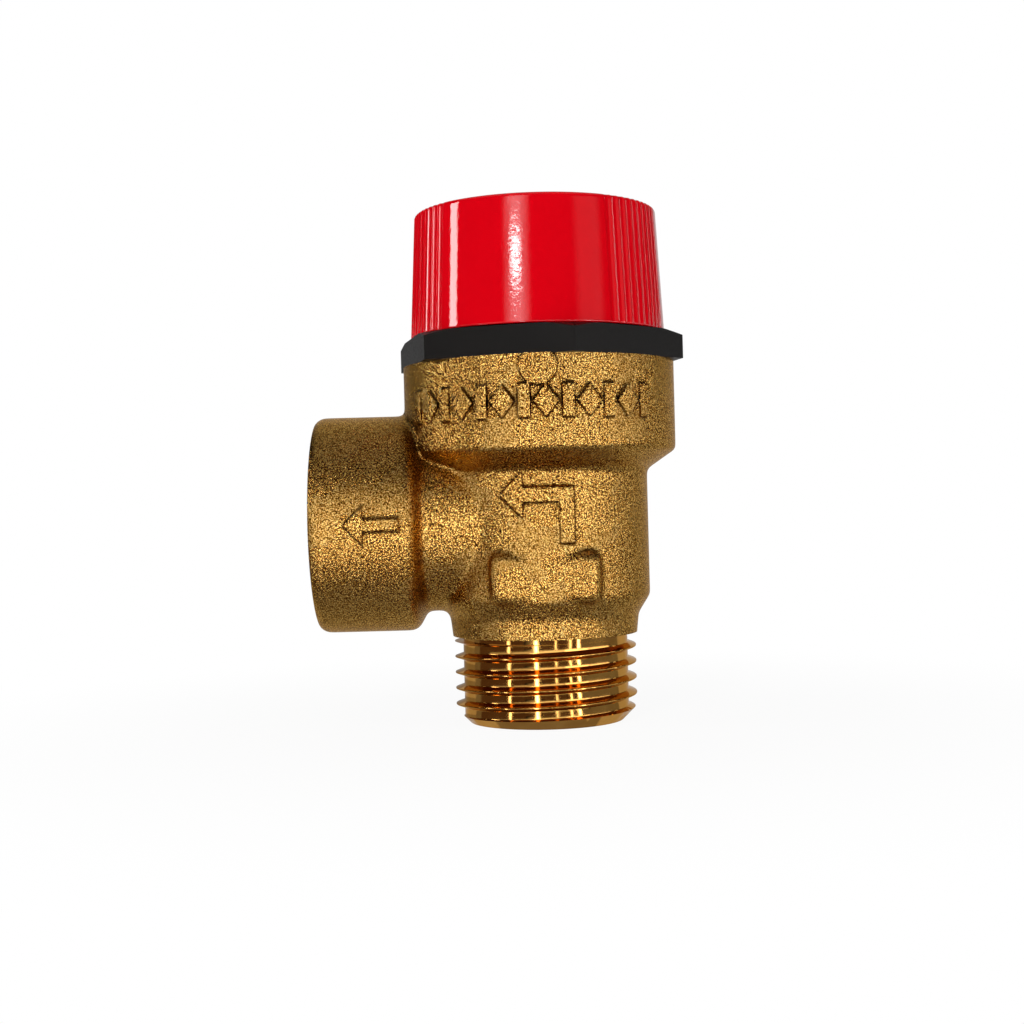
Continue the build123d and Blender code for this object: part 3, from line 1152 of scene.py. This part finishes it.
    def waterway(self) -> Piece:
        """Turn the hollow inside the trunk: inlet, seat, chamber and bonnet bore."""
        corners = [
            (self.inlet_r, -1),
            (self.inlet_r, self.inlet_depth),
            (self.seat_r, self.inlet_depth + self.hair),
            (self.seat_r, self.seat_z),
            (self.seat_r + self.seat_lip, self.seat_z + self.hair),
            (self.seat_outer_r, self.seat_z - self.seat_lip_height),
            (self.seat_outer_r, self.chamber_floor),
            (self.chamber_r, self.chamber_floor + self.hair),
            (self.chamber_r, self.ledge_z),
            (self.bonnet_r, self.ledge_z + self.hair),
            (self.bonnet_r, self.bowl_top + 2),
        ]
        return lathe("waterway", corners, 128)

    def outlet(self) -> Piece:
        """Make the hollow of the outlet: tapped hole, mouth chamfer and passage."""
        reach, pipe = self.outlet_reach, self.pipe
        start = reach - self.outlet_bore_depth
        hole = lathe("outlet", [(pipe.minor_r, start), (pipe.minor_r, reach + 1)], 120)
        turns = math.ceil(self.outlet_thread_depth / pipe.pitch)
        rod = pipe.rod("tap", reach - self.outlet_thread_depth, turns)
        blank = lathe("blank", [(11, start + 0.8), (11, reach + 1)], 64)
        carve(hole, carve(rod, blank, Cut.WITHIN), Cut.ONTO)
        flare = pipe.depth + 1
        mouth = [(pipe.minor_r, reach - pipe.depth), (pipe.minor_r + flare, reach + 1)]
        carve(hole, lathe("mouth", mouth, 120), Cut.ONTO)
        passage = [(self.passage_r, self.seat_outer_r), (self.passage_r, start + 1)]
        carve(hole, lathe("passage", passage, 96), Cut.ONTO)
        return placed(hole, self.outward)

    def spigot(self) -> Piece:
        """Cut the inlet's male thread on a chamfered blank, with a relief behind it."""
        pipe = self.male
        top = self.thread_end
        turns = math.ceil(top / pipe.pitch) + 1
        rod = pipe.rod("spigot", top - turns * pipe.pitch, turns)
        corners = [(pipe.major_r - self.lead_in, 0), (pipe.major_r, self.lead_in), (pipe.major_r, top)]
        carve(rod, lathe("blank", corners, 120), Cut.WITHIN)
        relief = [(pipe.minor_r - 0.02, 1.5), (pipe.minor_r - 0.02, self.spigot_top + 1)]
        return carve(rod, lathe("relief", relief, 120), Cut.ONTO)

    def build(self) -> Piece:
        """Forge and machine the body.

        Returns:
            The closed body.
        """
        piece = self.forged()
        far = 40.0
        carve(piece, box("saw", (-far, -far, -far), (far, far, self.spigot_top)))
        carve(piece, box("saw", (-far, -far, self.bowl_top), (far, far, far + far)))
        carve(piece, box("saw", (-far, -far, -far), (-self.outlet_reach, far, far)))
        faces = len(piece.data.polygons) * 2
        modify(piece, "DECIMATE", ratio=min(1, self.most_faces / faces))
        carve(piece, self.spigot(), Cut.ONTO)
        carve(piece, self.waterway())
        carve(piece, self.outlet())
        piece.name = "valve_body"
        with editing(piece):
            bpy.ops.mesh.select_all(action="SELECT")
            bpy.ops.mesh.quads_convert_to_tris()
        return piece

    def dress(self, piece: Piece) -> None:
        """Give the piece its forged skin, and bright metal and crisp edges where a tool cut it.

        Args:
            piece: The body's mesh.
        """
        piece.data.materials.clear()
        piece.data.materials.append(finished(ForgedBrass()))
        piece.data.materials.append(finished(TurnedBrass()))
        for face in piece.data.polygons:
            x, y, z = (c / MM for c in face.center)
            from_outlet = math.hypot(y, z - self.outlet_z)
            face.material_index = int(
                z < self.spigot_top + self.hair
                or z > self.bowl_top - self.hair
                or x < -self.outlet_reach + self.hair
                or (x < self.outlet_bore_depth - self.outlet_reach and from_outlet < self.tapped_r)
                or (x < 0 and from_outlet < self.passage_r + self.hair)
                or math.hypot(x, y) < self.chamber_r + self.hair
                or (z > self.ledge_z - self.hair and math.hypot(x, y) < self.bonnet_r + self.hair)
            )
        smoothed(piece, self.crease)
        skins: dict[tuple[int, int], set[int]] = {}
        for face in piece.data.polygons:
            for key in face.edge_keys:
                skins.setdefault(key, set()).add(face.material_index)
        for edge in piece.data.edges:
            if len(skins[edge.key]) > 1:
                edge.use_edge_sharp = True
        modify(piece, "WEIGHTED_NORMAL", weight=100, keep_sharp=True)


# -------------------------------------------------------------------- the head


def core_of(node: str, radius: float) -> Piece:
    """Copy the middle of a CAD node, to build a new outside on it.

    Args:
        node: The node's name.
        radius: How far out the copy reaches, in millimetres.

    Returns:
        The closed copy.
    """
    copy = weld(twin(frame["nodes"][node], f"{node}_core"), 0.002)
    copy.parent = None
    for key in list(copy.keys()):
        del copy[key]
    low, high = (corner.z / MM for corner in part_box(node))
    limit = lathe("limit", [(radius, low - 1), (radius, high + 1)], 180)
    return carve(copy, limit, Cut.WITHIN)


@dataclass
class Knob:
    """The red knob: a tapered skirt with three groups of grip flutes, in millimetres."""

    bottom_r: float = 14.63
    top_r: float = 13.9
    bottom: float = 44.3
    top: float = 58.4
    top_round: float = 0.45
    bottom_round: float = 0.16
    core_r: float = 13.1
    flutes: int = 10
    groups: int = 3
    pitch: float = 4.13
    centre: float = 52.5
    flute_r: float = 1.05
    flute_depth: float = 0.125
    ridge: float = 0.03
    flute_steps: int = 24
    wall_hold: float = 0.02
    plain_step: float = 1.0
    crease: float = 32.0

    def dip(self, aside: float) -> float:
        """Return how deep a flute is at a distance from its middle, with soft ridges."""
        reach = self.flute_r - self.flute_depth
        inside = math.sqrt(max(0, self.flute_r**2 - aside**2)) - reach
        return (inside + math.hypot(inside, self.ridge)) / 2

    def flute_line(self) -> list[Point]:
        """Return the (x, y) line across one flute, centred on +X."""
        half = math.radians(self.pitch / 2)
        spare = self.dip(self.bottom_r * half)
        line = []
        for i in range(self.flute_steps + 1):
            turn = half * (2 * i / self.flute_steps - 1)
            radius = self.bottom_r - self.dip(self.bottom_r * abs(turn)) + spare
            line.append((radius * math.cos(turn), radius * math.sin(turn)))
        return line

    def plain_line(self) -> list[Point]:
        """Return the (x, y) line of the plain wall between two groups, centred on +X."""
        half = math.radians(360 / self.groups - self.flutes * self.pitch) / 2
        steps = math.ceil(2 * half / math.radians(self.plain_step))
        turns = [half * (2 * i / steps - 1) for i in range(steps + 1)]
        return [(self.bottom_r * math.cos(turn), self.bottom_r * math.sin(turn)) for turn in turns]

    def outside(self) -> Piece:
        """Draw one flute and one plain wall, copy them round, and draw the outline up."""
        flat = Matrix.Rotation(-math.pi / 2, 4, "X")
        flute = placed(chain("flute", self.flute_line()), flat)
        plain = placed(chain("plain", self.plain_line()), flat)
        walls = []
        for group in range(self.groups):
            middle = self.centre - 90 + group * 360 / self.groups
            turns = [middle + (i - (self.flutes - 1) / 2) * self.pitch for i in range(self.flutes)]
            for wall, turn in [(flute, t) for t in turns] + [(plain, middle + 180 / self.groups)]:
                walls.append(placed(twin(wall, "wall"), Matrix.Rotation(math.radians(turn), 4, "Z")))
        bpy.data.objects.remove(flute)
        bpy.data.objects.remove(plain)
        piece = weld(joined(walls, "knob_outside"), 0.003)
        with editing(piece):
            bpy.ops.mesh.select_all(action="SELECT")
            bpy.ops.mesh.edge_face_add()
        foot, head = Vector((self.bottom_r, self.bottom)), Vector((self.top_r, self.top))
        walls_ends = [foot.lerp(head, share) for share in (self.wall_hold, 1 - 2 * self.wall_hold)]
        corners = [(self.core_r, self.bottom), foot, *walls_ends, head, (self.core_r - 2, self.top)]
        rounds = [0, self.bottom_round, 0, 0, self.top_round, 0]
        return drawn_up(piece, self.bottom_r, soften(corners, rounds, 6))

    def build(self) -> Piece:
        """Set the fluted outside on the CAD knob's core.

        Returns:
            The closed knob.
        """
        piece = self.outside()
        inner = self.core_r - 0.2
        carve(piece, lathe("hollow", [(inner, self.bottom - 1), (inner, self.top + 1)], 180))
        carve(piece, core_of("knob", self.core_r), Cut.ONTO)
        piece.name = "fluted_knob"
        piece.data.materials.clear()
        piece.data.materials.append(finished(RED_ABS))
        return smoothed(piece, self.crease, evened=True)


@dataclass
class Bonnet:
    """The black bonnet: a hexagonal flange with a crowned top, in millimetres."""

    bottom: float = 40.95
    top: float = 44.15
    corner_r: float = 17.04
    turn: float = 12.5
    crown_r: float = 15.6
    crown_angle: float = 22.0
    edge: float = 0.14
    edge_angle: float = 16.0
    core_r: float = 13.1
    inner_r: float = 12.8
    crease: float = 30.0

    def flange(self) -> Piece:
        """Cut the hexagon from a bar, crown its top and ease its edges."""
        thick = self.top - self.bottom
        deselect_all()
        bpy.ops.mesh.primitive_cylinder_add(
            vertices=6,
            radius=self.corner_r * MM,
            depth=thick * MM,
            location=(0, 0, (self.top + self.bottom) / 2 * MM),
            rotation=(0, 0, math.radians(self.turn)),
        )
        piece = fresh("flange")
        rim = self.corner_r + 1
        drop = (rim - self.crown_r) * math.tan(math.radians(self.crown_angle))
        crown = [(rim, self.bottom - 1), (rim, self.top - drop), (self.crown_r, self.top)]
        carve(piece, lathe("crown", [*crown, (self.crown_r - 1, self.top + 0.4)], 240), Cut.WITHIN)
        modify(
            piece,
            "BEVEL",
            width=self.edge * MM,
            segments=3,
            limit_method="ANGLE",
            angle_limit=math.radians(self.edge_angle),
        )
        hollow = [(self.inner_r, self.bottom - 1), (self.inner_r, self.top + 1)]
        return carve(piece, lathe("hollow", hollow, 180))

    def build(self) -> Piece:
        """Set the flange on the CAD bonnet's core.

        Returns:
            The closed bonnet.
        """
        piece = carve(self.flange(), core_of("bonnet", self.core_r), Cut.ONTO)
        piece.name = "hexagonal_bonnet"
        piece.data.materials.clear()
        piece.data.materials.append(finished(BLACK_NYLON))
        return smoothed(piece, self.crease, evened=True)


# ------------------------------------------------------------------- the inside


@dataclass
class Spring:
    """The compression spring with ground ends, in millimetres, in two lengths.

    The lower length is carried by the lift washer, and the upper one by the root.
    """

    coil_r: float = 6.4
    wire_r: float = 0.9
    turns: float = 4.5
    sides: int = 20
    steps: int = 72
    crease: float = 35.0

    def wire(self, low: float, high: float) -> Piece:
        """Screw a circle of wire up the coil, a little long at both ends."""
        pitch = (high - low - 2 * self.wire_r) / (self.turns - 1)
        deselect_all()
        bpy.ops.mesh.primitive_circle_add(
            vertices=self.sides,
            radius=self.wire_r * MM,
            location=(self.coil_r * MM, 0, (low + self.wire_r - pitch / 2) * MM),
            rotation=(math.pi / 2, 0, 0),
        )
        piece = fresh("spring")
        whole = math.ceil(self.turns)
        modify(
            piece,
            "SCREW",
            axis="Z",
            steps=self.steps,
            render_steps=self.steps,
            iterations=whole,
            screw_offset=pitch * MM,
        )
        weld(piece)
        with editing(piece):
            bpy.ops.mesh.select_mode(type="VERT")
            bpy.ops.mesh.select_all(action="DESELECT")
            bpy.ops.mesh.select_non_manifold()
            bpy.ops.mesh.edge_face_add()
            face_outwards()
        return piece

    def length(self, name: str, whole: Piece, low: float, high: float) -> Piece:
        """Cut one length off a copy of the spring.

        Args:
            name: The length's name.
            whole: The whole spring.
            low: Where it starts, in millimetres.
            high: Where it ends, in millimetres.

        Returns:
            The closed length of spring.
        """
        reach = self.coil_r + 2 * self.wire_r
        piece = twin(whole, name)
        carve(piece, box("limit", (-reach, -reach, low), (reach, reach, high)), Cut.WITHIN)
        piece.data.materials.append(finished(SPRING_STEEL))
        return smoothed(piece, self.crease)

    def build(self, lifts: Mapping[str, float]) -> list[Piece]:
        """Coil the spring between its plate and its adjuster, and hang its two lengths on the lift
        washer and the root.

        Args:
            lifts: How far each sliding joint goes, in millimetres. Not used.

        Returns:
            The lower and the upper length.
        """
        low, high = (corner.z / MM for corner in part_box("spring"))
        middle = (low + high) / 2
        whole = self.wire(low, high)
        lower = self.length("spring_lower", whole, low, middle)
        upper = self.length("spring_upper", whole, middle, high)
        bpy.data.objects.remove(whole)
        tied = ((lower, "lift_washer", "disc_lift", middle), (upper, "root", "knob_raise", high))
        for piece, body, joint, anchor in tied:
            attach(piece, body)
            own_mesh(piece)
        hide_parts("spring")
        return [lower, upper]


@dataclass
class Diaphragm:
    """The rubber diaphragm in millimetres: its clamped rim, and the middle that lifts."""

    bore_r: float = 2.53
    middle_r: float = 9.9
    rim_inner_r: float = 10.05
    rim_r: float = 12.9
    edge: float = 0.25
    crease: float = 30.0

    def ring(self, name: str, inner: float, outer: float) -> Piece:
        """Turn one ring of the rubber with its outer edges rounded."""
        low, high = (corner.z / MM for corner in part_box("diaphragm"))
        corners = [(outer / 2, low), (outer, low), (outer, high), (outer / 2, high)]
        piece = lathe(name, soften(corners, [0, self.edge, self.edge, 0], 4), 128)
        carve(piece, lathe("hole", [(inner, low - 1), (inner, high + 1)], 128))
        piece.data.materials.append(finished(RUBBER))
        return smoothed(piece, self.crease)

    def build(self) -> list[Piece]:
        """Make the rim that the bonnet clamps and the middle that rides on the stem.

        Returns:
            Both pieces.
        """
        rim = self.ring("diaphragm_rim", self.rim_inner_r, self.rim_r)
        middle = self.ring("diaphragm_middle", self.bore_r, self.middle_r)
        for piece, body in ((rim, "root"), (middle, "stem")):
            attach(piece, body)
        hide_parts("diaphragm")
        return [rim, middle]


@dataclass
class Works:
    """The CAD pieces that keep their own shapes: what each one is made of."""

    crease: float = 30.0
    seam: float = 0.002

    def dress(self) -> None:
        """Give every CAD node its finish and smooth its round walls."""
        finishes = {
            "knob_cap": RED_ABS,
            "seal_disc": RUBBER,
            "slip_ring": WHITE_ACETAL,
            "spring_adjuster": TurnedBrass(),
            "stem": TurnedBrass(),
            "seal_holder": TurnedBrass(),
            "lift_nut": ZINC_STEEL,
            "plate_nut": ZINC_STEEL,
            "lift_washer": ZINC_STEEL,
            "seal_washer": ZINC_STEEL,
            "seal_screw": ZINC_STEEL,
            "spring_plate": ZINC_STEEL,
        }
        for name, finish in finishes.items():
            piece = frame["nodes"][name]
            piece.data.materials.clear()
            piece.data.materials.append(finished(finish))
            only(piece)
            bpy.ops.object.shade_smooth()
            weld_joints = piece.modifiers.new("weld", "WELD")
            weld_joints.merge_threshold = self.seam * MM
            split = piece.modifiers.new("edges", "EDGE_SPLIT")
            split.split_angle = math.radians(self.crease)
            LOG.info("dressed %s", name)


# ------------------------------------------------------------------- the studio


class Tone(Enum):
    """How bright the cards round the valve look to shiny surfaces."""

    BLACK = "#1F1A17"
    SMOKE = "#5E4A3C"
    ASH = "#949290"
    STONE = "#9C9C9C"
    GREY = "#888888"
    PEARL = "#CACACA"


@dataclass(frozen=True)
class Studio:
    """A white room with soft boxes, cards, a pale floor and the camera, in millimetres."""

    focal: float = 54.56
    eye: tuple[float, float, float] = (-3.48, -180.0, 24.6)
    pitch: float = -0.16
    roll: float = -1.5
    floor_size: float = 900.0
    ambient: float = 0.36
    floor_fade: Point = (20.0, 90.0)
    floor_near: float = 0.93
    middle: float = 29.0
    ring: float = 520.0
    ring_height: float = 1400.0
    lid_away: float = 680.0
    card_turn: float = 20.0
    front: Point = (-105, 45)
    opening: Point = (150, 210)
    horizon: float = 20.0
    back_start: float = 118.0
    # Turn and radiance of each silk in front; then rise, spread and fading edge of all.
    arc: tuple[tuple[float, float], ...] = ((-66, 0.7), (-30, 1.0), (6, 1.9), (42, 4.0), (78, 2.8))
    arc_box: tuple[float, Point, Point] = (2, (42, 14), (0.3, 0.3))
    # Turn of each silk below; then rise, spread, radiance and fading edge of all.
    under_arc: tuple[float, ...] = (-32, 4, 40)
    under_box: tuple[float, Point, float, Point] = (-24, (42, 14), 1.3, (0.3, 0.5))
    back_top: float = 125.0
    back_foot: float = -60.0
    # Each lamp's name, turn, rise, distance, size and power.
    lamps: tuple[tuple[str, float, float, float, Point, float], ...] = (
        ("key_lamp", -20, 14, 420, (90, 260), 0.85),
        ("left_lamp", -80, 8, 420, (60, 400), 0.4),
        ("right_lamp", 55, 12, 450, (70, 300), 0.5),
    )
    # Each soft box's name, turn, rise, spread, radiance and fading edge. They lie high, where
    # the knob's leaning wall reflects them.
    key_boxes: tuple[tuple[str, float, float, Point, float, Point], ...] = (
        ("key_silk", -18, 15, (27, 50), 2.9, (0.9, 0.6)),
        ("key_bulb", -18.6, 17.2, (15, 2.6), 40.0, (0.9, 0.7)),
    )
    side_boxes: tuple[tuple[str, float, float, Point, float, Point], ...] = (
        ("left_strip", -81, 16, (8.0, 18), 11.0, (0.05, 0.1)),
        ("left_slit", -101, 17, (1.2, 13), 5.0, (0.1, 0.1)),
        ("right_silk", 48, 17, (32, 16), 0.3, (0.6, 0.4)),
        ("right_slit", 112, 17, (3, 16), 6.0, (0.3, 0.3)),
    )
    # Turn, width and radiance of the low slits that draw bright lines down the pipe thread;
    # then rise, height and fading edge of all.
    slits: tuple[tuple[float, float, float], ...] = (
        (-53, 3.0, 8.0),
        (-14, 4.5, 14.0),
        (13, 1.8, 6.0),
        (33, 2.4, 7.0),
        (45, 4.0, 12.0),
    )
    slit_box: tuple[float, float, Point] = (-16, 48, (0.3, 0.2))

    def camera(self) -> None:
        """Stand the camera in front of the valve."""
        data = bpy.data.cameras.new("camera")
        data.lens = self.focal
        data.sensor_width = 36.0
        data.clip_start = 10 * MM
        data.clip_end = 10.0
        camera = bpy.data.objects.new("camera", data)
        bpy.context.scene.collection.objects.link(camera)
        camera.matrix_world = (
            Matrix.Translation(Vector(self.eye) * MM)
            @ Matrix.Rotation(math.radians(90 + self.pitch), 4, "X")
            @ Matrix.Rotation(math.radians(self.roll), 4, "Z")
        )
        bpy.context.scene.camera = camera

    def world(self) -> None:
        """Light the room evenly, and show it white to the eye, to metal and to glass."""
        world = bpy.data.worlds.new("white_room")
        world.use_nodes = True
        bpy.context.scene.world = world
        tree = world.node_tree
        tree.nodes.clear()
        path = add(tree, "ShaderNodeLightPath")
        seen = add(
            tree,
            "ShaderNodeMath",
            {0: path.outputs["Is Camera Ray"], 1: path.outputs["Is Glossy Ray"]},
            operation="MAXIMUM",
        ).outputs[0]
        shown = add(
            tree,
            "ShaderNodeMath",
            {0: seen, 1: path.outputs["Is Transmission Ray"]},
            operation="MAXIMUM",
        ).outputs[0]
        strength = add(
            tree,
            "ShaderNodeMapRange",
            {"Value": shown, "To Min": self.ambient, "To Max": 1.0},
        ).outputs["Result"]
        light = add(
            tree, "ShaderNodeBackground", {"Color": linear("#FFFFFF"), "Strength": strength}
        )
        add(tree, "ShaderNodeOutputWorld", {"Surface": light.outputs["Background"]})

    def floor(self) -> Piece:
        """Lay the white floor that the valve stands on; shiny surfaces see the cards instead."""
        deselect_all()
        bpy.ops.mesh.primitive_circle_add(
            vertices=96, radius=self.floor_size * MM, fill_type="NGON"
        )
        floor = fresh("floor")
        material, tree, place = begun("studio_floor_white")
        away = add(
            tree, "ShaderNodeVectorMath", {0: place}, operation="LENGTH"
        ).outputs["Value"]
        near, far = (reach * MM for reach in self.floor_fade)
        fade = add(
            tree,
            "ShaderNodeMapRange",
            {"Value": away, "From Min": near, "From Max": far, "To Min": self.floor_near},
            interpolation_type="SMOOTHSTEP",
        ).outputs["Result"]
        matt = add(tree, "ShaderNodeBsdfDiffuse", {"Color": linear("#F4F4F2")})
        white = add(tree, "ShaderNodeEmission", {"Color": linear("#FFFFFF"), "Strength": 1.0})
        path = add(tree, "ShaderNodeLightPath")
        amount = add(
            tree,
            "ShaderNodeMath",
            {0: fade, 1: path.outputs["Is Camera Ray"]},
            operation="MULTIPLY",
        ).outputs[0]
        mixed = add(
            tree,
            "ShaderNodeMixShader",
            {0: amount, 1: matt.outputs["BSDF"], 2: white.outputs["Emission"]},
        )
        add(tree, "ShaderNodeOutputMaterial", {"Surface": mixed.outputs["Shader"]})
        floor.data.materials.append(material)
        floor.visible_glossy = False
        return floor

    def lamp(
        self, name: str, turn: float, rise: float, away: float, size: Point, power: float
    ) -> None:
        """Hang a soft box that faces the middle of the valve and lights its matt surfaces.

        Args:
            name: The lamp's name.
            turn: Its direction from the front, towards +X, in degrees.
            rise: Its height above the horizon, in degrees.
            away: Its distance in millimetres.
            size: Its width and height in millimetres.
            power: Its power in watts.
        """
        data = bpy.data.lights.new(name, "AREA")
        data.shape = "RECTANGLE"
        data.size, data.size_y = (side * MM for side in size)
        data.energy = power
        lamp = bpy.data.objects.new(name, data)
        bpy.context.scene.collection.objects.link(lamp)
        lamp.matrix_world = self.facing(turn, rise, away)
        lamp.visible_camera = False
        lamp.visible_glossy = False

    def card(
        self, name: str, turn: float, rise: float, size: Point, away: float | None = None
    ) -> Piece:
        """Hang a card that only shiny surfaces see, to shape their reflections.

        Args:
            name: The card's name.
            turn: Its direction from the front, towards +X, in degrees.
            rise: Its height above the horizon, in degrees.
            size: Its width and height in millimetres.
            away: Its distance in millimetres, or the ring's if none is given.

        Returns:
            The card, still without a material.
        """
        deselect_all()
        bpy.ops.mesh.primitive_plane_add(size=1)
        card = only(bpy.context.active_object)
        card.name = name
        place = self.facing(turn, rise, away or self.ring)
        card.matrix_world = place @ Matrix.Diagonal((size[0] * MM, size[1] * MM, 1, 1))
        bpy.ops.object.transform_apply(location=True, rotation=True, scale=True)
        card.visible_camera = False
        card.visible_diffuse = False
        card.visible_transmission = False
        card.visible_shadow = False
        return card

    def cloth(self, tone: Tone) -> bpy.types.Material:
        """Return the matt cloth of the plain cards.

        Args:
            tone: How bright it looks.

        Returns:
            The material, made once for each tone.
        """
        name = f"card_cloth_{tone.name.lower()}"
        made = bpy.data.materials.get(name)
        if made:
            return made
        material, tree, _ = begun(name)
        glow = add(tree, "ShaderNodeEmission", {"Color": linear(tone.value)})
        add(tree, "ShaderNodeOutputMaterial", {"Surface": glow.outputs["Emission"]})
        return material

    def silk(self, name: str, radiance: float, edge: Point) -> bpy.types.Material:
        """Make the lit silk of a soft box, bright in the middle and fading to its edges.

        Args:
            name: The material's name.
            radiance: Its brightness in the middle; 1 is white.
            edge: The share of its half width and half height over which it fades.

        Returns:
            The material.
        """
        material, tree, _ = begun(name)
        place = add(tree, "ShaderNodeTexCoord").outputs["UV"]
        sides = add(tree, "ShaderNodeSeparateXYZ", {0: place}).outputs
        fades = []
        for side, width in zip((0, 1), edge):
            inward = add(
                tree, "ShaderNodeMath", {0: sides[side], 1: 0.5}, operation="PINGPONG"
            ).outputs[0]
            fades.append(
                add(
                    tree,
                    "ShaderNodeMapRange",
                    {"Value": inward, "From Max": max(width, 0.01) / 2},
                    interpolation_type="SMOOTHSTEP",
                ).outputs["Result"]
            )
        both = add(tree, "ShaderNodeMath", {0: fades[0], 1: fades[1]}, operation="MULTIPLY")
        strength = add(
            tree,
            "ShaderNodeMapRange",
            {"Value": both.outputs[0], "To Min": 0.012, "To Max": radiance},
        ).outputs["Result"]
        glow = add(tree, "ShaderNodeEmission", {"Strength": strength})
        add(tree, "ShaderNodeOutputMaterial", {"Surface": glow.outputs["Emission"]})
        return material

    def soft_box(
        self, name: str, turn: float, rise: float, spread: Point, radiance: float, edge: Point
    ) -> None:
        """Hang the lit silk that shiny surfaces reflect, just inside the ring of cards.

        Args:
            name: The card's name.
            turn: Its direction from the front, towards +X, in degrees.
            rise: Its height above the horizon, in degrees.
            spread: Its width and height as seen from the valve, in degrees.
            radiance: Its brightness in the middle; 1 is white.
            edge: The share of its half width and half height over which it fades.
        """
        away = 0.9 * self.ring
        size = tuple(2 * away * math.tan(math.radians(angle / 2)) for angle in spread)
        card = self.card(name, turn, rise, size, away)
        card.data.materials.append(self.silk(name, radiance, edge))

    def facing(self, turn: float, rise: float, away: float) -> Matrix:
        """Place something round the valve's middle, with its +Z turned to it.

        Args:
            turn: Its direction from the front, towards +X, in degrees.
            rise: Its height above the horizon, in degrees.
            away: Its distance in millimetres.

        Returns:
            The place and turn, in metres.
        """
        a, e = math.radians(turn), math.radians(rise)
        back = Vector((math.sin(a) * math.cos(e), -math.cos(a) * math.cos(e), math.sin(e)))
        middle = Vector((0, 0, self.middle)) * MM
        turned = back.to_track_quat("Z", "Y").to_matrix().to_4x4()
        return Matrix.Translation(middle + back * away * MM) @ turned

    def ring_of_cards(self) -> None:
        """Stand cards all round: dark in front, paler at the sides and behind."""
        back = self.back_start
        middle, half = self.middle, self.ring_height / 2
        upper = (self.horizon, middle + half)
        lower = (middle - half, self.horizon)
        spans = [
            (back, 180, (self.back_foot, self.back_top), Tone.PEARL),
            (180, 360 - back, (self.back_foot, self.back_top), Tone.STONE),
            (back, 360 - back, (middle - half, self.back_foot), Tone.PEARL),
            (back, self.opening[0], (self.back_top, middle + half), Tone.BLACK),
            (*self.opening, (self.back_top, middle + half), Tone.PEARL),
            (self.opening[1], 360 - back, (self.back_top, middle + half), Tone.BLACK),
            (-back, back, upper, Tone.BLACK),
            (*self.front, lower, Tone.SMOKE),
            (self.front[1], back, lower, Tone.GREY),
            (-back, self.front[0], lower, Tone.GREY),
        ]
        for i, (start, end, (foot, head), tone) in enumerate(spans):
            cards = max(1, round((end - start) / self.card_turn))
            reach = (end - start) / cards / 2
            wide = 2 * self.ring * math.tan(math.radians(reach))
            for k in range(cards):
                card = self.card(f"card_{i}_{k}", start + reach * (2 * k + 1), 0, (wide, head - foot))
                lift = Matrix.Translation((0, 0, ((head + foot) / 2 - middle) * MM))
                placed(card, lift).data.materials.append(self.cloth(tone))
        for name, rise, tone in (("card_top", 90, Tone.ASH), ("card_bottom", -90, Tone.ASH)):
            card = self.card(name, 0, rise, (self.ring_height, self.ring_height), self.lid_away)
            card.data.materials.append(self.cloth(tone))

    def build(self) -> None:
        """Set up the room."""
        bpy.context.scene.view_settings.view_transform = "Standard"
        self.camera()
        self.world()
        self.floor()
        for lamp in self.lamps:
            self.lamp(*lamp)
        self.ring_of_cards()
        for soft_box in self.key_boxes:
            self.soft_box(*soft_box)
        rise, spread, edge = self.arc_box
        for i, (turn, radiance) in enumerate(self.arc):
            self.soft_box(f"front_silk_{i}", turn, rise, spread, radiance, edge)
        for i, turn in enumerate(self.under_arc):
            self.soft_box(f"low_silk_{i}", turn, *self.under_box)
        for soft_box in self.side_boxes:
            self.soft_box(*soft_box)
        rise, height, edge = self.slit_box
        for i, (turn, width, radiance) in enumerate(self.slits):
            self.soft_box(f"slit_{i}", turn, rise, (width, height), radiance, edge)


def main() -> None:
    """Build the valve's looks in order, and report each piece."""
    logging.basicConfig(level=logging.INFO, format="%(name)s: %(message)s")
    forging = Forging()
    body = forging.build()
    forging.dress(body)
    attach(body, "root")
    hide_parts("body")
    built = [body]
    for maker, carrier, node, slot in (
        (Knob(), "knob", "knob", "red_plastic"),
        (Bonnet(), "root", "bonnet", "black_nylon"),
    ):
        piece = maker.build()
        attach(piece, carrier)
        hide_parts(node)
        built.append(piece)
    slides = {
        joint["name"]: joint["range_m"][1] / MM
        for joint in frame["joints"]
        if joint["type"] == "slide"
    }
    built += Spring().build(slides) + Diaphragm().build()
    for piece in built:
        LOG.info("built %s with %d faces", piece.name, len(piece.data.polygons))
    Works().dress()
    Studio().build()


if __name__ == "__main__":
    main()
